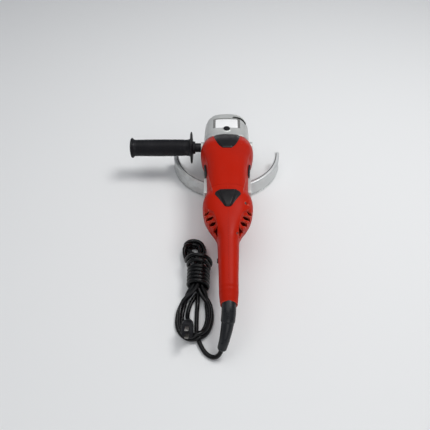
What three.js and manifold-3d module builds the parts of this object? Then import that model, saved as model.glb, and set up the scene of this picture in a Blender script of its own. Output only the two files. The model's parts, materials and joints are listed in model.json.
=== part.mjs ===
// Large rear-handle angle grinder, standing on its wheel guard, with its lead tied in a hank.
// Millimetres. The model is laid out around the wheel spindle: the spindle is the line x = 0, y = 0,
// z = 0 is the surface the tool stands on, +Y points to the gear case and the side handle is at -X.
import * as THREE from 'three';
import { mergeVertices } from 'three/addons/utils/BufferGeometryUtils.js';
import Module from 'manifold-3d';

const wasm = await Module();
wasm.setup();

// ---------------------------------------------------------------- driving dimensions
const GAP = 0.3;                       // between pieces that touch
const ROUND = 20;                      // sides of an ordinary turned piece

const GUARD_RADIUS = 125;              // outside of the skirt, for a 230 mm wheel
const GUARD_HEIGHT = 38;               // skirt and plate together
const GUARD_SHEET = 2;

const MOTOR_Z = 92;                    // height of the motor's axis
const WALL = 3;                        // plastic shells

const CASE_HALF = 51;                  // gear case, half its width
const CASE_FRONT = 54;
const CASE_LOW = 50;
const CASE_TOP = 113;
const CASE_WALL = 6;
const JOINT_Y = -40;                   // slanted joint of gear case and motor housing, at JOINT_Z
const JOINT_Z = 115;
const JOINT_SLOPE = 6 / 40;

const SEAM_Y = -214;                   // joint of motor housing and rear handle
const HANDLE_END_Y = -436;

const CROWN_TEETH = 36;
const PINION_TEETH = 9;
const PITCH_SLOPE = PINION_TEETH / CROWN_TEETH;
const TEETH_OUTER = 31;                // ends of the teeth, from the point where the axes cross
const TEETH_INNER = 21;

const LOCK_Y = -14;                    // spindle lock pin
const LOCK_HOLES = 8;                  // holes of the crown gear that the pin can enter

const SIDE_Y = -34;                    // side handle axis
const SIDE_Z = 76;
const BOSS_END = 58;

const CORD_RADIUS = 3.9;

// ---------------------------------------------------------------- finishes
function finish(color, roughness, metalness) {
  return new THREE.MeshStandardMaterial({ color, roughness, metalness });
}
const redPlastic = () => finish(0xb02310, 0.45, 0);
const blackPlastic = () => finish(0x262328, 0.5, 0);
const rubber = () => finish(0x2b292b, 0.75, 0);
const casting = () => finish(0xaaaba6, 0.35, 0.7);
const sheetSteel = () => finish(0xb0b2b0, 0.35, 0.9);
const steel = () => finish(0x8c8c8c, 0.4, 0.9);
const copper = () => finish(0xa6602c, 0.4, 0.9);

// ---------------------------------------------------------------- solids
const grinder = new THREE.Group();

function signedVolume(geometry) {
  const place = geometry.getAttribute('position');
  const index = geometry.getIndex();
  const [a, b, c] = [new THREE.Vector3(), new THREE.Vector3(), new THREE.Vector3()];
  let total = 0;
  for (let i = 0; i < index.count; i += 3) {
    a.fromBufferAttribute(place, index.getX(i));
    b.fromBufferAttribute(place, index.getX(i + 1));
    c.fromBufferAttribute(place, index.getX(i + 2));
    total += a.dot(b.cross(c)) / 6;
  }
  return total;
}

// One solid from a closed geometry, turned outside out if its faces point in.
function solid(geometry) {
  const bare = new THREE.BufferGeometry();
  bare.setAttribute('position', geometry.getAttribute('position'));
  bare.setIndex(geometry.getIndex());
  const merged = mergeVertices(bare);
  const triangles = Uint32Array.from(merged.getIndex().array);
  if (signedVolume(merged) < 0) triangles.reverse();
  const vertices = Float32Array.from(merged.getAttribute('position').array);
  return new wasm.Manifold(new wasm.Mesh({ numProp: 3, vertProperties: vertices, triVerts: triangles }));
}

function geometryOf(body) {
  const mesh = body.getMesh();
  const geometry = new THREE.BufferGeometry();
  geometry.setAttribute('position', new THREE.BufferAttribute(mesh.vertProperties, 3));
  geometry.setIndex(new THREE.BufferAttribute(mesh.triVerts, 1));
  geometry.computeVertexNormals();
  return geometry;
}

function add(name, body, material) {
  const mesh = new THREE.Mesh(geometryOf(body), material);
  mesh.name = name;
  grinder.add(mesh);
  return mesh;
}

// Two places along X, mirrored if side is -1, the lower one first.
const span = (side, from, to) => [Math.min(side * from, side * to), Math.max(side * from, side * to)];

const join = (first, ...rest) => rest.reduce((whole, piece) => whole.add(piece), first);
const cut = (first, ...rest) => rest.reduce((whole, piece) => whole.subtract(piece), first);

// A box given by its lowest and highest corner, turned about X through its centre if asked.
function box(low, high, turn = 0) {
  const size = high.map((value, i) => value - low[i]);
  const geometry = new THREE.BoxGeometry(...size);
  geometry.rotateX(turn);
  geometry.translate(...high.map((value, i) => (value + low[i]) / 2));
  return solid(geometry);
}

// A profile of [radius, height] points turned about a line along X, Y or Z through `centre`.
function turned(profile, axis, centre = [0, 0, 0], sides = ROUND) {
  const geometry = new THREE.LatheGeometry(profile.map(([r, h]) => new THREE.Vector2(r, h)), sides);
  if (axis === 'x') geometry.rotateZ(-Math.PI / 2);
  if (axis === 'z') geometry.rotateX(Math.PI / 2);
  geometry.translate(...centre);
  return solid(geometry);
}

const rod = (radius, from, to, axis, centre, sides) => turned(
  [[0, from], [radius, from], [radius, to], [0, to]], axis, centre, sides);

const tube = (inner, outer, from, to, axis, centre, sides) => turned(
  [[inner, from], [outer, from], [outer, to], [inner, to], [inner, from]], axis, centre, sides);

// A closed skin through a row of outlines that all have the same number of points.
function loft(rings) {
  const count = rings[0].length;
  const points = [];
  const triangle = (...corners) => corners.forEach((corner) => points.push(corner.x, corner.y, corner.z));
  const middle = (ring) => ring.reduce((sum, p) => sum.add(p), new THREE.Vector3()).divideScalar(count);
  const [first, last] = [rings[0], rings[rings.length - 1]];
  const [firstMiddle, lastMiddle] = [middle(first), middle(last)];
  for (let j = 0; j < count; j += 1) {
    const k = (j + 1) % count;
    for (let i = 0; i + 1 < rings.length; i += 1) {
      triangle(rings[i][j], rings[i + 1][j], rings[i + 1][k]);
      triangle(rings[i][j], rings[i + 1][k], rings[i][k]);
    }
    triangle(firstMiddle, first[j], first[k]);
    triangle(lastMiddle, last[k], last[j]);
  }
  const geometry = new THREE.BufferGeometry();
  geometry.setAttribute('position', new THREE.Float32BufferAttribute(points, 3));
  return solid(geometry);
}

// Turn an outline's plane: its own normal becomes Y (it then reads x, z) or X (it then reads y, z).
const ALONG = {
  x: new THREE.Matrix4().set(0, 0, 1, 0, 1, 0, 0, 0, 0, 1, 0, 0, 0, 0, 0, 1),
  y: new THREE.Matrix4().set(1, 0, 0, 0, 0, 0, 1, 0, 0, 1, 0, 0, 0, 0, 0, 1),
  z: new THREE.Matrix4(),
};

// An outline of [u, v] points carried along one axis: z takes x and y, y takes x and z, x takes y and z.
function prism(outline, from, to, axis) {
  const shape = new THREE.Shape(outline.map(([u, v]) => new THREE.Vector2(u, v)));
  const geometry = new THREE.ExtrudeGeometry(shape, { depth: to - from, bevelEnabled: false });
  geometry.translate(0, 0, from);
  geometry.applyMatrix4(ALONG[axis]);
  return solid(geometry);
}

// Points of an arc, in degrees, both ends included.
function arc(cx, cy, radius, from, to, steps) {
  return Array.from({ length: steps + 1 }, (_, i) => {
    const angle = THREE.MathUtils.degToRad(from + ((to - from) * i) / steps);
    return [cx + radius * Math.cos(angle), cy + radius * Math.sin(angle)];
  });
}

// A tube of changing radius along a curve.
function taperedTube(curve, radiusAt, steps, sides) {
  const frames = curve.computeFrenetFrames(steps, false);
  const rings = Array.from({ length: steps + 1 }, (_, i) => {
    const centre = curve.getPointAt(i / steps);
    const radius = radiusAt(i / steps);
    return Array.from({ length: sides }, (__, j) => {
      const angle = (2 * Math.PI * j) / sides;
      return centre.clone()
        .addScaledVector(frames.normals[i], radius * Math.cos(angle))
        .addScaledVector(frames.binormals[i], radius * Math.sin(angle));
    });
  });
  return loft(rings);
}

const motorLine = [0, 0, MOTOR_Z];

// ---------------------------------------------------------------- red body: motor housing and rear handle
// Cross-sections from front to back: place, half width, lowest and highest point, squareness.
const SECTIONS = [
  [-15, 42, 58, 106, 2.5],
  [-33, 45.5, 53, 114, 2.5],
  [-42, 47.5, 50, 118, 2.5],
  [-54, 53, 47, 125, 2.6],
  [-80, 56.5, 45, 133.5, 2.7],
  [-100, 54, 45, 135, 2.7],
  [-122, 48.5, 46, 136, 2.7],
  [-145, 44.2, 47, 136, 2.7],
  [-187, 41.5, 48, 135, 2.7],
  [-212, 41.5, 49, 133.5, 2.7],
  [-228, 47, 50, 132, 2.6],
  [-247, 48, 51, 131, 2.6],
  [-268, 44.5, 54, 128, 2.5],
  [-286, 37, 58, 124.5, 2.4],
  [-304, 26.5, 63, 119, 2.4],
  [-320, 20.2, 65, 114, 2.4],
  [-345, 18.8, 63.5, 109, 2.4],
  [-380, 17.4, 60, 101.5, 2.4],
  [-418, 16.6, 54, 91, 2.2],
  [-430, 15.4, 52, 85, 2],
  [HANDLE_END_Y, 14.6, 52.4, 81.6, 2],
];

const BODY_SIDES = 24;

// The cross-section at any place, smooth between the sections above.
function sectionAt(y) {
  const last = SECTIONS.length - 1;
  let i = SECTIONS.findIndex(([place]) => place <= y);
  i = i < 0 ? last : Math.max(i, 1);
  const row = (k) => SECTIONS[THREE.MathUtils.clamp(k, 0, last)];
  const t = (y - row(i - 1)[0]) / (row(i)[0] - row(i - 1)[0]);
  const smooth = (column) => {
    const [a, b, c, d] = [row(i - 2), row(i - 1), row(i), row(i + 1)].map((r) => r[column]);
    const [bend, twist] = [2 * a - 5 * b + 4 * c - d, 3 * b - a - 3 * c + d];
    return 0.5 * (2 * b + (c - a) * t + bend * t * t + twist * t ** 3);
  };
  return { half: smooth(1), low: smooth(2), high: smooth(3), square: smooth(4) };
}

// The outline of the body at one place, made larger by `grow` all round.
function bodyRing(y, grow, count) {
  const { half, low, high, square } = sectionAt(y);
  const power = (value) => Math.sign(value) * Math.abs(value) ** (2 / square);
  return Array.from({ length: count }, (_, j) => {
    const angle = (2 * Math.PI * j) / count;
    const x = (half + grow) * power(Math.cos(angle));
    const z = (low + high) / 2 + ((high - low) / 2 + grow) * power(Math.sin(angle));
    return new THREE.Vector3(x, y, z);
  });
}

function bodyBetween(from, to, grow, steps) {
  const places = Array.from({ length: steps + 1 }, (_, i) => from + ((to - from) * i) / steps);
  return loft(places.map((y) => bodyRing(y, grow, BODY_SIDES)));
}

// The outer surfaces of the motor housing and of the rear handle, made larger by `grow`.
const HOUSING_START = -15;
const housingSkin = (grow) => bodyBetween(HOUSING_START, SEAM_Y, grow, 12);
const handleSkin = (grow) => bodyBetween(SEAM_Y - GAP, HANDLE_END_Y, grow, 13);

// Everything ahead of the slanted joint plane, moved back by `shift`.
function aheadOfJoint(shift) {
  const [reach, top] = [150, 300];
  const onPlane = (z) => JOINT_Y - shift - (JOINT_Z - z) * JOINT_SLOPE;
  const outline = [[onPlane(-reach), -reach], [reach, -reach], [reach, top], [onPlane(top), top]];
  return prism(outline, -reach, reach, 'x');
}

const COVER_Y = -187;                  // brush covers on the waist
const COVER_HALF = [21, 16];
const COVER_WINDOW = [17, 12];
const COVER_Z = 88;
const COVER_FACE = 47;                 // outer face of a cover, from the middle
const STRIP_FROM = -129;               // dark strips ahead of the covers
const STRIP_TO = -163;
const STRIP_HEIGHT = [66, 110];
const REAR_BEARING = { from: -206, to: -197, inner: 6.2, outer: 11 };
const AIRWAY = { inner: 6, outer: 30, low: 14, high: 32 };   // four openings round the rear bearing

// A block under a brush cover: between two places along X, with the given half length and half height.
function coverBlock(side, from, to, [halfLength, halfHeight], grow = 0) {
  const [left, right] = span(side, from, to);
  return box([left, COVER_Y - halfLength - grow, COVER_Z - halfHeight - grow],
    [right, COVER_Y + halfLength + grow, COVER_Z + halfHeight + grow]);
}

// The right-hand edge of an outline, followed by the same edge on the left.
const mirrored = (side) => [...side, ...side.map(([x, y]) => [-x, y]).reverse()];

const frontPadEdge = new THREE.QuadraticBezierCurve(
  new THREE.Vector2(28.6, -30),
  new THREE.Vector2(27.5, -91),
  new THREE.Vector2(8.5, -108.7),
);
const FRONT_PAD = mirrored(frontPadEdge.getPoints(6).map((p) => [p.x, p.y]));
const REAR_PAD = mirrored([[17, -228.5], [22.5, -231], [24.3, -235], [24, -239], [6.5, -266], [3, -268]]);

// A rubber pad lying on the upper side of the red body, over the given outline.
function pad(outline, skin, thickness) {
  const column = prism(outline, MOTOR_Z + 3, 150, 'z');
  return cut(column.intersect(skin(thickness)), skin(GAP));
}

function addMotorHousing() {
  const shell = cut(
    housingSkin(0),
    bodyBetween(HOUSING_START + 1, SEAM_Y - 1, -WALL, 12),
    aheadOfJoint(0),
  );
  const wall = bodyBetween(REAR_BEARING.from - 3, REAR_BEARING.to + 2, -WALL + 0.5, 1);
  const airways = [-1, 1].flatMap((side) => [-1, 1].map((up) => {
    const [left, right] = span(side, AIRWAY.inner, AIRWAY.outer);
    const [bottom, top] = span(up, AIRWAY.low, AIRWAY.high);
    return box([left, SEAM_Y, MOTOR_Z + bottom], [right, REAR_BEARING.to + 10, MOTOR_Z + top]);
  }));
  const seat = rod(REAR_BEARING.outer + GAP, SEAM_Y, REAR_BEARING.to + 10, 'y', motorLine);
  const windows = [-1, 1].map((side) => coverBlock(side, 30, 50, COVER_WINDOW, GAP));
  const screwHoles = CASE_SCREWS.map(([x, z]) => rod(SCREW + 0.6, -80, -20, 'y', [x, 0, z], 12));
  add('motor_housing', cut(join(shell, wall), ...airways, seat, ...windows, ...screwHoles), redPlastic());
}

// A silver brush cover, with the plug that fills its window, and the dark strip ahead of it.
function addSideTrim(side, word) {
  const skin = housingSkin(GAP);
  const plate = cut(coverBlock(side, 36, COVER_FACE, COVER_HALF), skin);
  const plug = coverBlock(side, 39, COVER_FACE - 1, COVER_WINDOW);
  add(`brush_cover_${word}`, join(plate, plug), casting());

  const [left, right] = span(side, 30, 60);
  const column = box([left, STRIP_TO, STRIP_HEIGHT[0]], [right, STRIP_FROM, STRIP_HEIGHT[1]]);
  add(`side_strip_${word}`, cut(column.intersect(housingSkin(2.4)), skin), blackPlastic());
}

// ---------------------------------------------------------------- gear case
const CASE_SCREWS = [[33, 103], [-33, 103], [36, 62], [-36, 62]];
const CASE_SCREW_HEAD_Y = -64;
const SCREW = 2;                       // radius of every screw's shank
const SHOULDER_Z = 60;                 // the case's sides start to curve in here

// The rounded block of the gear case, `inset` inside its outer surface.
function caseBlock(inset) {
  const half = CASE_HALF - inset;
  const front = CASE_FRONT - inset;
  const [low, top] = [CASE_LOW + inset, CASE_TOP - inset];
  const power = (value, squareness) => Math.sign(value) * Math.abs(value) ** (2 / squareness);
  const steps = 12;
  const frontCurve = Array.from({ length: steps + 1 }, (_, i) => {
    const angle = (Math.PI * i) / steps;
    return [half * power(Math.cos(angle), 3.4), front * power(Math.sin(angle), 3.4)];
  });
  const back = -90;
  const plan = prism([...frontCurve, [-half, back], [half, back]], low, top, 'z');
  const rise = top - SHOULDER_Z;
  const arch = Array.from({ length: steps + 1 }, (_, i) => {
    const angle = (Math.PI * i) / steps;
    return [half * power(Math.cos(angle), 3.2), SHOULDER_Z + rise * power(Math.sin(angle), 3.2)];
  });
  const across = prism([...arch, [-half, low], [half, low]], back, front, 'y');
  const radius = 17 - inset;
  const bend = arc(front - radius, top - radius, radius, 0, 90, 5);
  const nose = [...bend, [back, top], [back, low], [front, low]];
  return plan.intersect(across).intersect(prism(nose, -half, half, 'x'));
}

const POCKET_DEPTH = 1.5;              // recess of the blank plate
const LOCK_FLOOR = 101;                // the lock spring stands here
const NEEDLE = { inner: 4, outer: 5.6, from: 98, to: 108 };
const FRONT_BEARING = { from: -46, to: -35.5, inner: 6.2, outer: 16 };

// The crescent air outlet on the right shoulder.
function crescent() {
  const outer = arc(14, 2, 37, 86, 12, 10);
  const inner = arc(12, -3, 36.5, 16, 82, 10);
  return prism([...outer, ...inner], CASE_TOP - 9, CASE_TOP + 5, 'z');
}

function addGearCase() {
  const bossCentre = [0, SIDE_Y, SIDE_Z];
  const boss = (side) => rod(11, 0, side * BOSS_END, 'x', bossCentre);
  const bossHole = (side) => rod(7 + GAP, side * 41, side * (BOSS_END + 1), 'x', bossCentre, 16);
  const outside = join(caseBlock(0), boss(-1), boss(1));
  const cavity = caseBlock(CASE_WALL).intersect(aheadOfJoint(-9))
    .intersect(box([-60, -60, CASE_LOW + 8], [60, 60, CASE_TOP]));
  const pillars = join(
    rod(11, 96, CASE_TOP - 1, 'z'),
    rod(10, 96, CASE_TOP - 1, 'z', [0, LOCK_Y, 0]),
  );
  const pocket = box([-30.5, -9.5, CASE_TOP - POCKET_DEPTH], [30.5, 26, CASE_TOP + 5]);
  const shellCase = join(cut(outside, cavity), pillars.intersect(caseBlock(1)));
  const bores = [
    rod(36, CASE_LOW - 5, CASE_LOW + 9, 'z', undefined, 24),
    rod(NEEDLE.outer + GAP, 90, NEEDLE.to + GAP, 'z'),
    rod(3.3, 90, CASE_TOP, 'z', [0, LOCK_Y, 0], 16),
    rod(7.3, LOCK_FLOOR, CASE_TOP + 5, 'z', [0, LOCK_Y, 0]),
    rod(FRONT_BEARING.outer + GAP, FRONT_BEARING.from - 20, FRONT_BEARING.to + GAP, 'y', motorLine),
    rod(11.5, -60, -15, 'y', motorLine),
  ];
  const screwHoles = CASE_SCREWS.map(([x, z]) => rod(SCREW + GAP, -70, -33, 'y', [x, 0, z], 12));
  const coverHoles = COVER_SCREWS.map(([x, y]) => rod(SCREW + GAP, 40, CASE_LOW + 9, 'z', [x, y, 0], 8));
  const bearingRing = rod(20, FRONT_BEARING.from - 1, -32.5, 'y', motorLine, 24);
  const body = join(shellCase.intersect(aheadOfJoint(-GAP)), bearingRing);
  const holes = [bossHole(-1), bossHole(1), ...bores, ...screwHoles, ...coverHoles];
  add('gear_case', cut(body, pocket, crescent(), ...holes), casting());

  const plate = box([-25, -8, CASE_TOP - POCKET_DEPTH + GAP], [25, 24, CASE_TOP - GAP]);
  add('gear_case_plate', cut(plate, rod(7.9, 90, 130, 'z', [0, LOCK_Y, 0])), finish(0xe4e4e2, 0.4, 0.2));

  CASE_SCREWS.forEach(([x, z], i) => {
    const screw = join(
      rod(SCREW, CASE_SCREW_HEAD_Y, -34, 'y', [x, 0, z], 8),
      rod(3.8, CASE_SCREW_HEAD_Y - 3, CASE_SCREW_HEAD_Y + 0.1, 'y', [x, 0, z], 8),
    );
    add(`case_screw_${i + 1}`, screw, steel());
  });
}

// ---------------------------------------------------------------- spindle, its bearings and cover
const COVER_FLANGE = { from: 44.7, to: CASE_LOW - GAP, radius: 45 };
const NECK_RADIUS = 30;
const COVER_TOP = 57;
const SPINDLE_BEARING = { inner: 8.5, outer: 20, from: 43.3, to: 55.3 };
const COVER_LIP = 36 - GAP;            // the cover's rim inside the case
const COVER_SCREWS = arc(0, 0, 40.5, 45, 315, 3);

function addBearingCover() {
  const bottom = GUARD_HEIGHT - GUARD_SHEET;
  const opening = 10.5;
  const seat = SPINDLE_BEARING.outer + GAP;
  const profile = [
    [opening, bottom], [NECK_RADIUS, bottom], [NECK_RADIUS, COVER_FLANGE.from],
    [COVER_FLANGE.radius, COVER_FLANGE.from], [COVER_FLANGE.radius, COVER_FLANGE.to],
    [COVER_LIP, COVER_FLANGE.to], [COVER_LIP, COVER_TOP], [seat, COVER_TOP],
    [seat, SPINDLE_BEARING.from - GAP], [opening, SPINDLE_BEARING.from - GAP], [opening, bottom],
  ];
  const holes = COVER_SCREWS.flatMap(([x, y]) => [
    rod(SCREW + GAP, 40, 60, 'z', [x, y, 0], 8),
    rod(4, 40, COVER_FLANGE.from + 3, 'z', [x, y, 0], 8),
  ]);
  add('bearing_cover', cut(turned(profile, 'z', undefined, 24), ...holes), casting());
  COVER_SCREWS.forEach(([x, y], i) => {
    const screw = join(
      rod(3.7, COVER_FLANGE.from + 0.2, COVER_FLANGE.from + 2.7, 'z', [x, y, 0], 8),
      rod(SCREW, COVER_FLANGE.from + 2.6, CASE_LOW + 7, 'z', [x, y, 0], 8),
    );
    add(`cover_screw_${i + 1}`, screw, steel());
  });
}

// A bearing, its races and its balls or rollers as one ring.
function addBearing(name, { inner, outer, from, to }, axis, centre) {
  add(name, tube(inner, outer, from, to, axis, centre), steel());
}

function addSpindle() {
  const profile = [
    [0, 5], [6, 5], [7, 6], [7, 27], [8.2, 27], [8.2, 56], [10, 56], [10, 61], [8.2, 61], [8.2, 80.4],
    [6, 80.4], [6, 95.5], [3.7, 95.5], [3.7, 107.5], [0, 107.5],
  ];
  add('spindle', turned(profile, 'z', undefined, 16), steel());
  addBearing('spindle_bearing', SPINDLE_BEARING, 'z');
  addBearing('needle_bearing', NEEDLE, 'z');
  const flange = [
    [7.3, 23.5], [11, 23.5], [11, 26], [21, 26], [21, 30], [16, 32], [10.6, 32], [10.6, 26.7], [7.3, 26.7],
    [7.3, 23.5],
  ];
  add('inner_flange', turned(flange, 'z'), steel());
  const nut = tube(7.3, 20, 15, 20, 'z');
  const wrenchHoles = arc(0, 0, 14.5, 45, 315, 3).map(([x, y]) => rod(2.5, 10, 17.5, 'z', [x, y, 0], 8));
  add('flange_nut', cut(join(nut, tube(7.3, 11, 19.9, 22, 'z')), ...wrenchHoles), steel());
}

// ---------------------------------------------------------------- bevel gears
// Straight bevel teeth: every edge of a tooth runs to the point where the two axes cross.
const ADDENDUM = 0.045;                // per millimetre from that point
const DEDENDUM = 0.06;
const CROWN_HALF_ANGLES = [2.4, 1.1];  // half a tooth at its root and at its tip, in degrees
const PINION_HALF_ANGLES = [11, 4.5];

function crownTooth(index) {
  const step = 360 / CROWN_TEETH;
  const place = -90 + (index + 0.5) * step;
  const corner = (radius, side, level) => {
    const angle = THREE.MathUtils.degToRad(place + side * CROWN_HALF_ANGLES[level]);
    const drop = PITCH_SLOPE + (level ? -ADDENDUM : DEDENDUM + 0.01);
    return new THREE.Vector3(radius * Math.cos(angle), radius * Math.sin(angle), MOTOR_Z - radius * drop);
  };
  const end = (r) => [corner(r, -1, 0), corner(r, 1, 0), corner(r, 1, 1), corner(r, -1, 1)];
  return loft([end(TEETH_INNER), end(TEETH_OUTER)]);
}

function pinionTooth(index) {
  const place = -90 + (index * 360) / PINION_TEETH;
  const corner = (distance, side, level) => {
    const angle = THREE.MathUtils.degToRad(place + side * PINION_HALF_ANGLES[level]);
    const radius = distance * (PITCH_SLOPE + (level ? ADDENDUM : -DEDENDUM - 0.02));
    return new THREE.Vector3(radius * Math.cos(angle), -distance, MOTOR_Z + radius * Math.sin(angle));
  };
  const end = (d) => [corner(d, -1, 0), corner(d, 1, 0), corner(d, 1, 1), corner(d, -1, 1)];
  return loft([end(TEETH_INNER + 0.4), end(TEETH_OUTER - 0.4)]);
}

function crownGear() {
  const root = (radius) => MOTOR_Z - radius * (PITCH_SLOPE + DEDENDUM);
  const rim = TEETH_OUTER + 0.5;
  const blank = turned([
    [8.5, 62], [14, 62], [14, 68], [rim, 74], [rim, root(rim)], [TEETH_INNER - 0.5, root(TEETH_INNER - 0.5)],
    [TEETH_INNER - 0.5, 80], [8.5, 80], [8.5, 62],
  ], 'z', undefined, 24);
  const teeth = Array.from({ length: CROWN_TEETH }, (_, i) => crownTooth(i));
  const lockHoles = Array.from({ length: LOCK_HOLES }, (_, i) => {
    const angle = (2 * Math.PI * i) / LOCK_HOLES;
    return rod(3.5, 70, 85, 'z', [LOCK_Y * Math.sin(angle), LOCK_Y * Math.cos(angle), 0], 12);
  });
  return cut(join(blank, ...teeth), ...lockHoles);
}

function pinionGear() {
  const root = (distance) => distance * (PITCH_SLOPE - DEDENDUM);
  const [front, back] = [TEETH_INNER + 0.4, TEETH_OUTER - 0.4];
  const blank = turned([
    [3.1, -front], [root(front), -front], [root(back), -back], [root(back), -TEETH_OUTER - GAP],
    [7.5, -TEETH_OUTER - GAP], [7.5, -34.8], [3.1, -34.8],
    [3.1, -front],
  ], 'y', motorLine, 12);
  return join(blank, ...Array.from({ length: PINION_TEETH }, (_, i) => pinionTooth(i)));
}

// ---------------------------------------------------------------- motor
const FAN = { from: -92, to: -78, radius: 37 };
const FAN_BLADES = 9;
const CORE_SLOTS = 12;
const CORE = { from: -155, to: -105, radius: 25 };
const STATOR = { from: -156, to: -104, inner: 34, outer: 39.6 };
const COMMUTATOR = { from: -186, to: -168, radius: 15 };
const BRUSH_Y = -177;

function addArmature() {
  const shaft = [
    [0, -206], [5.9, -206], [5.9, -190], [7.9, -190], [7.9, -97], [5.9, -97], [5.9, -35.2], [2.8, -35.2],
    [2.8, -18.5], [0, -18.5],
  ];
  add('armature_shaft', turned(shaft, 'y', motorLine), steel());
  const slots = Array.from({ length: CORE_SLOTS }, (_, i) => {
    const slot = new THREE.BoxGeometry(2, CORE.to - CORE.from + 2, 5);
    slot.translate(0, (CORE.from + CORE.to) / 2, CORE.radius - 1);
    slot.rotateY((2 * Math.PI * i) / CORE_SLOTS);
    slot.translate(0, 0, MOTOR_Z);
    return solid(slot);
  });
  add('armature_core', cut(tube(9.8, CORE.radius, CORE.from, CORE.to, 'y', motorLine), ...slots), steel());
  const windings = [
    [8.2, -165], [17, -165], [20, -161], [20, CORE.from - GAP], [9.5, CORE.from - GAP], [9.5, CORE.to + GAP],
    [20, CORE.to + GAP], [18, -99], [8.2, -99], [8.2, -165],
  ];
  add('armature_windings', turned(windings, 'y', motorLine), copper());
  add('commutator', tube(8.2, COMMUTATOR.radius, COMMUTATOR.from, COMMUTATOR.to, 'y', motorLine), copper());
  const blades = Array.from({ length: FAN_BLADES }, (_, i) => {
    const blade = new THREE.BoxGeometry(1.6, FAN.to - FAN.from - 1, 22);
    blade.translate(0, (FAN.from + FAN.to) / 2 + 0.5, 24.5);
    blade.rotateY((2 * Math.PI * i) / FAN_BLADES);
    blade.translate(0, 0, MOTOR_Z);
    return solid(blade);
  });
  const disc = join(
    tube(6.2, FAN.radius, FAN.from, FAN.from + 2, 'y', motorLine, 24),
    tube(6.2, 14.5, FAN.from, FAN.to, 'y', motorLine, 16),
  );
  add('cooling_fan', join(disc, ...blades), blackPlastic());
  add('pinion_gear', pinionGear(), steel());
  add('crown_gear', crownGear(), steel());
}

function addStator() {
  const { from, to, inner, outer } = STATOR;
  add('stator_core', tube(inner, outer, from, to, 'y', motorLine, 24), steel());
  [['left', 180], ['right', 0]].forEach(([word, middle]) => {
    const reach = 52;
    const outline = [
      ...arc(0, MOTOR_Z, inner - GAP, middle - reach, middle + reach, 8),
      ...arc(0, MOTOR_Z, CORE.radius + 1.5, middle + reach, middle - reach, 8),
    ];
    add(`field_coil_${word}`, prism(outline, from - 7, to + 5, 'y'), copper());
  });
  add('air_baffle', tube(26, 39, -97, -94.5, 'y', motorLine, 24), blackPlastic());
  addBearing('motor_rear_bearing', REAR_BEARING, 'y', motorLine);
  addBearing('motor_front_bearing', FRONT_BEARING, 'y', motorLine);
}

// A carbon brush and the brass box that it slides in.
function addBrush(side, word) {
  const [halfLength, halfHeight] = [5, 3.2];
  const block = (from, to, grow) => {
    const [low, high] = span(side, from, to);
    return box([low, BRUSH_Y - halfLength - grow, MOTOR_Z - halfHeight - grow],
      [high, BRUSH_Y + halfLength + grow, MOTOR_Z + halfHeight + grow]);
  };
  add(`brush_holder_${word}`, cut(block(18, 38, 2), block(17, 34, GAP)), finish(0xb08d3c, 0.35, 0.9));
  add(`carbon_brush_${word}`, block(COMMUTATOR.radius + GAP, 30, 0), finish(0x303030, 0.6, 0.2));
}

// ---------------------------------------------------------------- spindle lock
function addSpindleLock() {
  const centre = [0, LOCK_Y, 0];
  const button = [[0, 82], [3, 82], [3, 108.5], [7, 108.5], [7, 115], [6, 116], [0, 116]];
  add('lock_button', turned(button, 'z', centre), blackPlastic());
  add('lock_spring', tube(3.6, 5.2, LOCK_FLOOR + GAP, 108.2, 'z', centre, 16), steel());
}

// ---------------------------------------------------------------- wheel guard
const PLATE_FRONT = 78;                // the plate reaches this far ahead of the spindle
const FILLET = 60;                     // hollow corner between that front and the ends of the skirt
const FILLET_ANGLE = 23.9;
const SKIRT_START = 2;                 // degrees behind the X axis
const CLAMP = { y: 38.5, z: 41.2, top: 44.2, slit: 1.2, ear: 5.2 };   // screw that closes the collar

function addGuard() {
  const rim = arc(0, 0, GUARD_RADIUS, 180 + SKIRT_START, 360 - SKIRT_START, 30);
  const filletCentre = (side) => {
    const angle = THREE.MathUtils.degToRad(FILLET_ANGLE);
    return [side * (PLATE_FRONT + FILLET) * Math.cos(angle), (PLATE_FRONT + FILLET) * Math.sin(angle)];
  };
  const right = arc(...filletCentre(1), FILLET, 269, 180 + FILLET_ANGLE, 6);
  const front = arc(0, 0, PLATE_FRONT, FILLET_ANGLE, 180 - FILLET_ANGLE, 12).slice(1, -1);
  const left = arc(...filletCentre(-1), FILLET, -FILLET_ANGLE, -89, 6);
  const plate = prism([...rim, ...right, ...front, ...left], GUARD_HEIGHT - GUARD_SHEET, GUARD_HEIGHT, 'z');
  const inner = arc(0, 0, GUARD_RADIUS - GUARD_SHEET, 360 - SKIRT_START, 180 + SKIRT_START, 30);
  const skirt = prism([...rim, ...inner], 0, GUARD_HEIGHT - 1, 'z');
  const collar = tube(NECK_RADIUS + GAP, 33.3, GUARD_HEIGHT - 1, CLAMP.top, 'z', undefined, 24);
  const ear = (side) => {
    const [left, right] = span(side, CLAMP.slit, CLAMP.ear);
    return box([left, 31, GUARD_HEIGHT - 1], [right, 43, CLAMP.top]);
  };
  const slit = box([-CLAMP.slit, 28, GUARD_HEIGHT + GAP], [CLAMP.slit, 50, 50]);
  const screwHole = rod(SCREW + GAP, -8, 8, 'x', [0, CLAMP.y, CLAMP.z], 10);
  const hole = rod(NECK_RADIUS + 2 * GAP, 30, 50, 'z', undefined, 24);
  const body = cut(join(plate, skirt, collar, ear(-1), ear(1)), hole, slit, screwHole);
  add('wheel_guard', body, sheetSteel());
  const screw = join(
    rod(SCREW, -8, 7, 'x', [0, CLAMP.y, CLAMP.z], 10),
    rod(2.9, 5.5, 9, 'x', [0, CLAMP.y, CLAMP.z], 6),
  );
  add('guard_screw', screw, steel());
}

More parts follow.
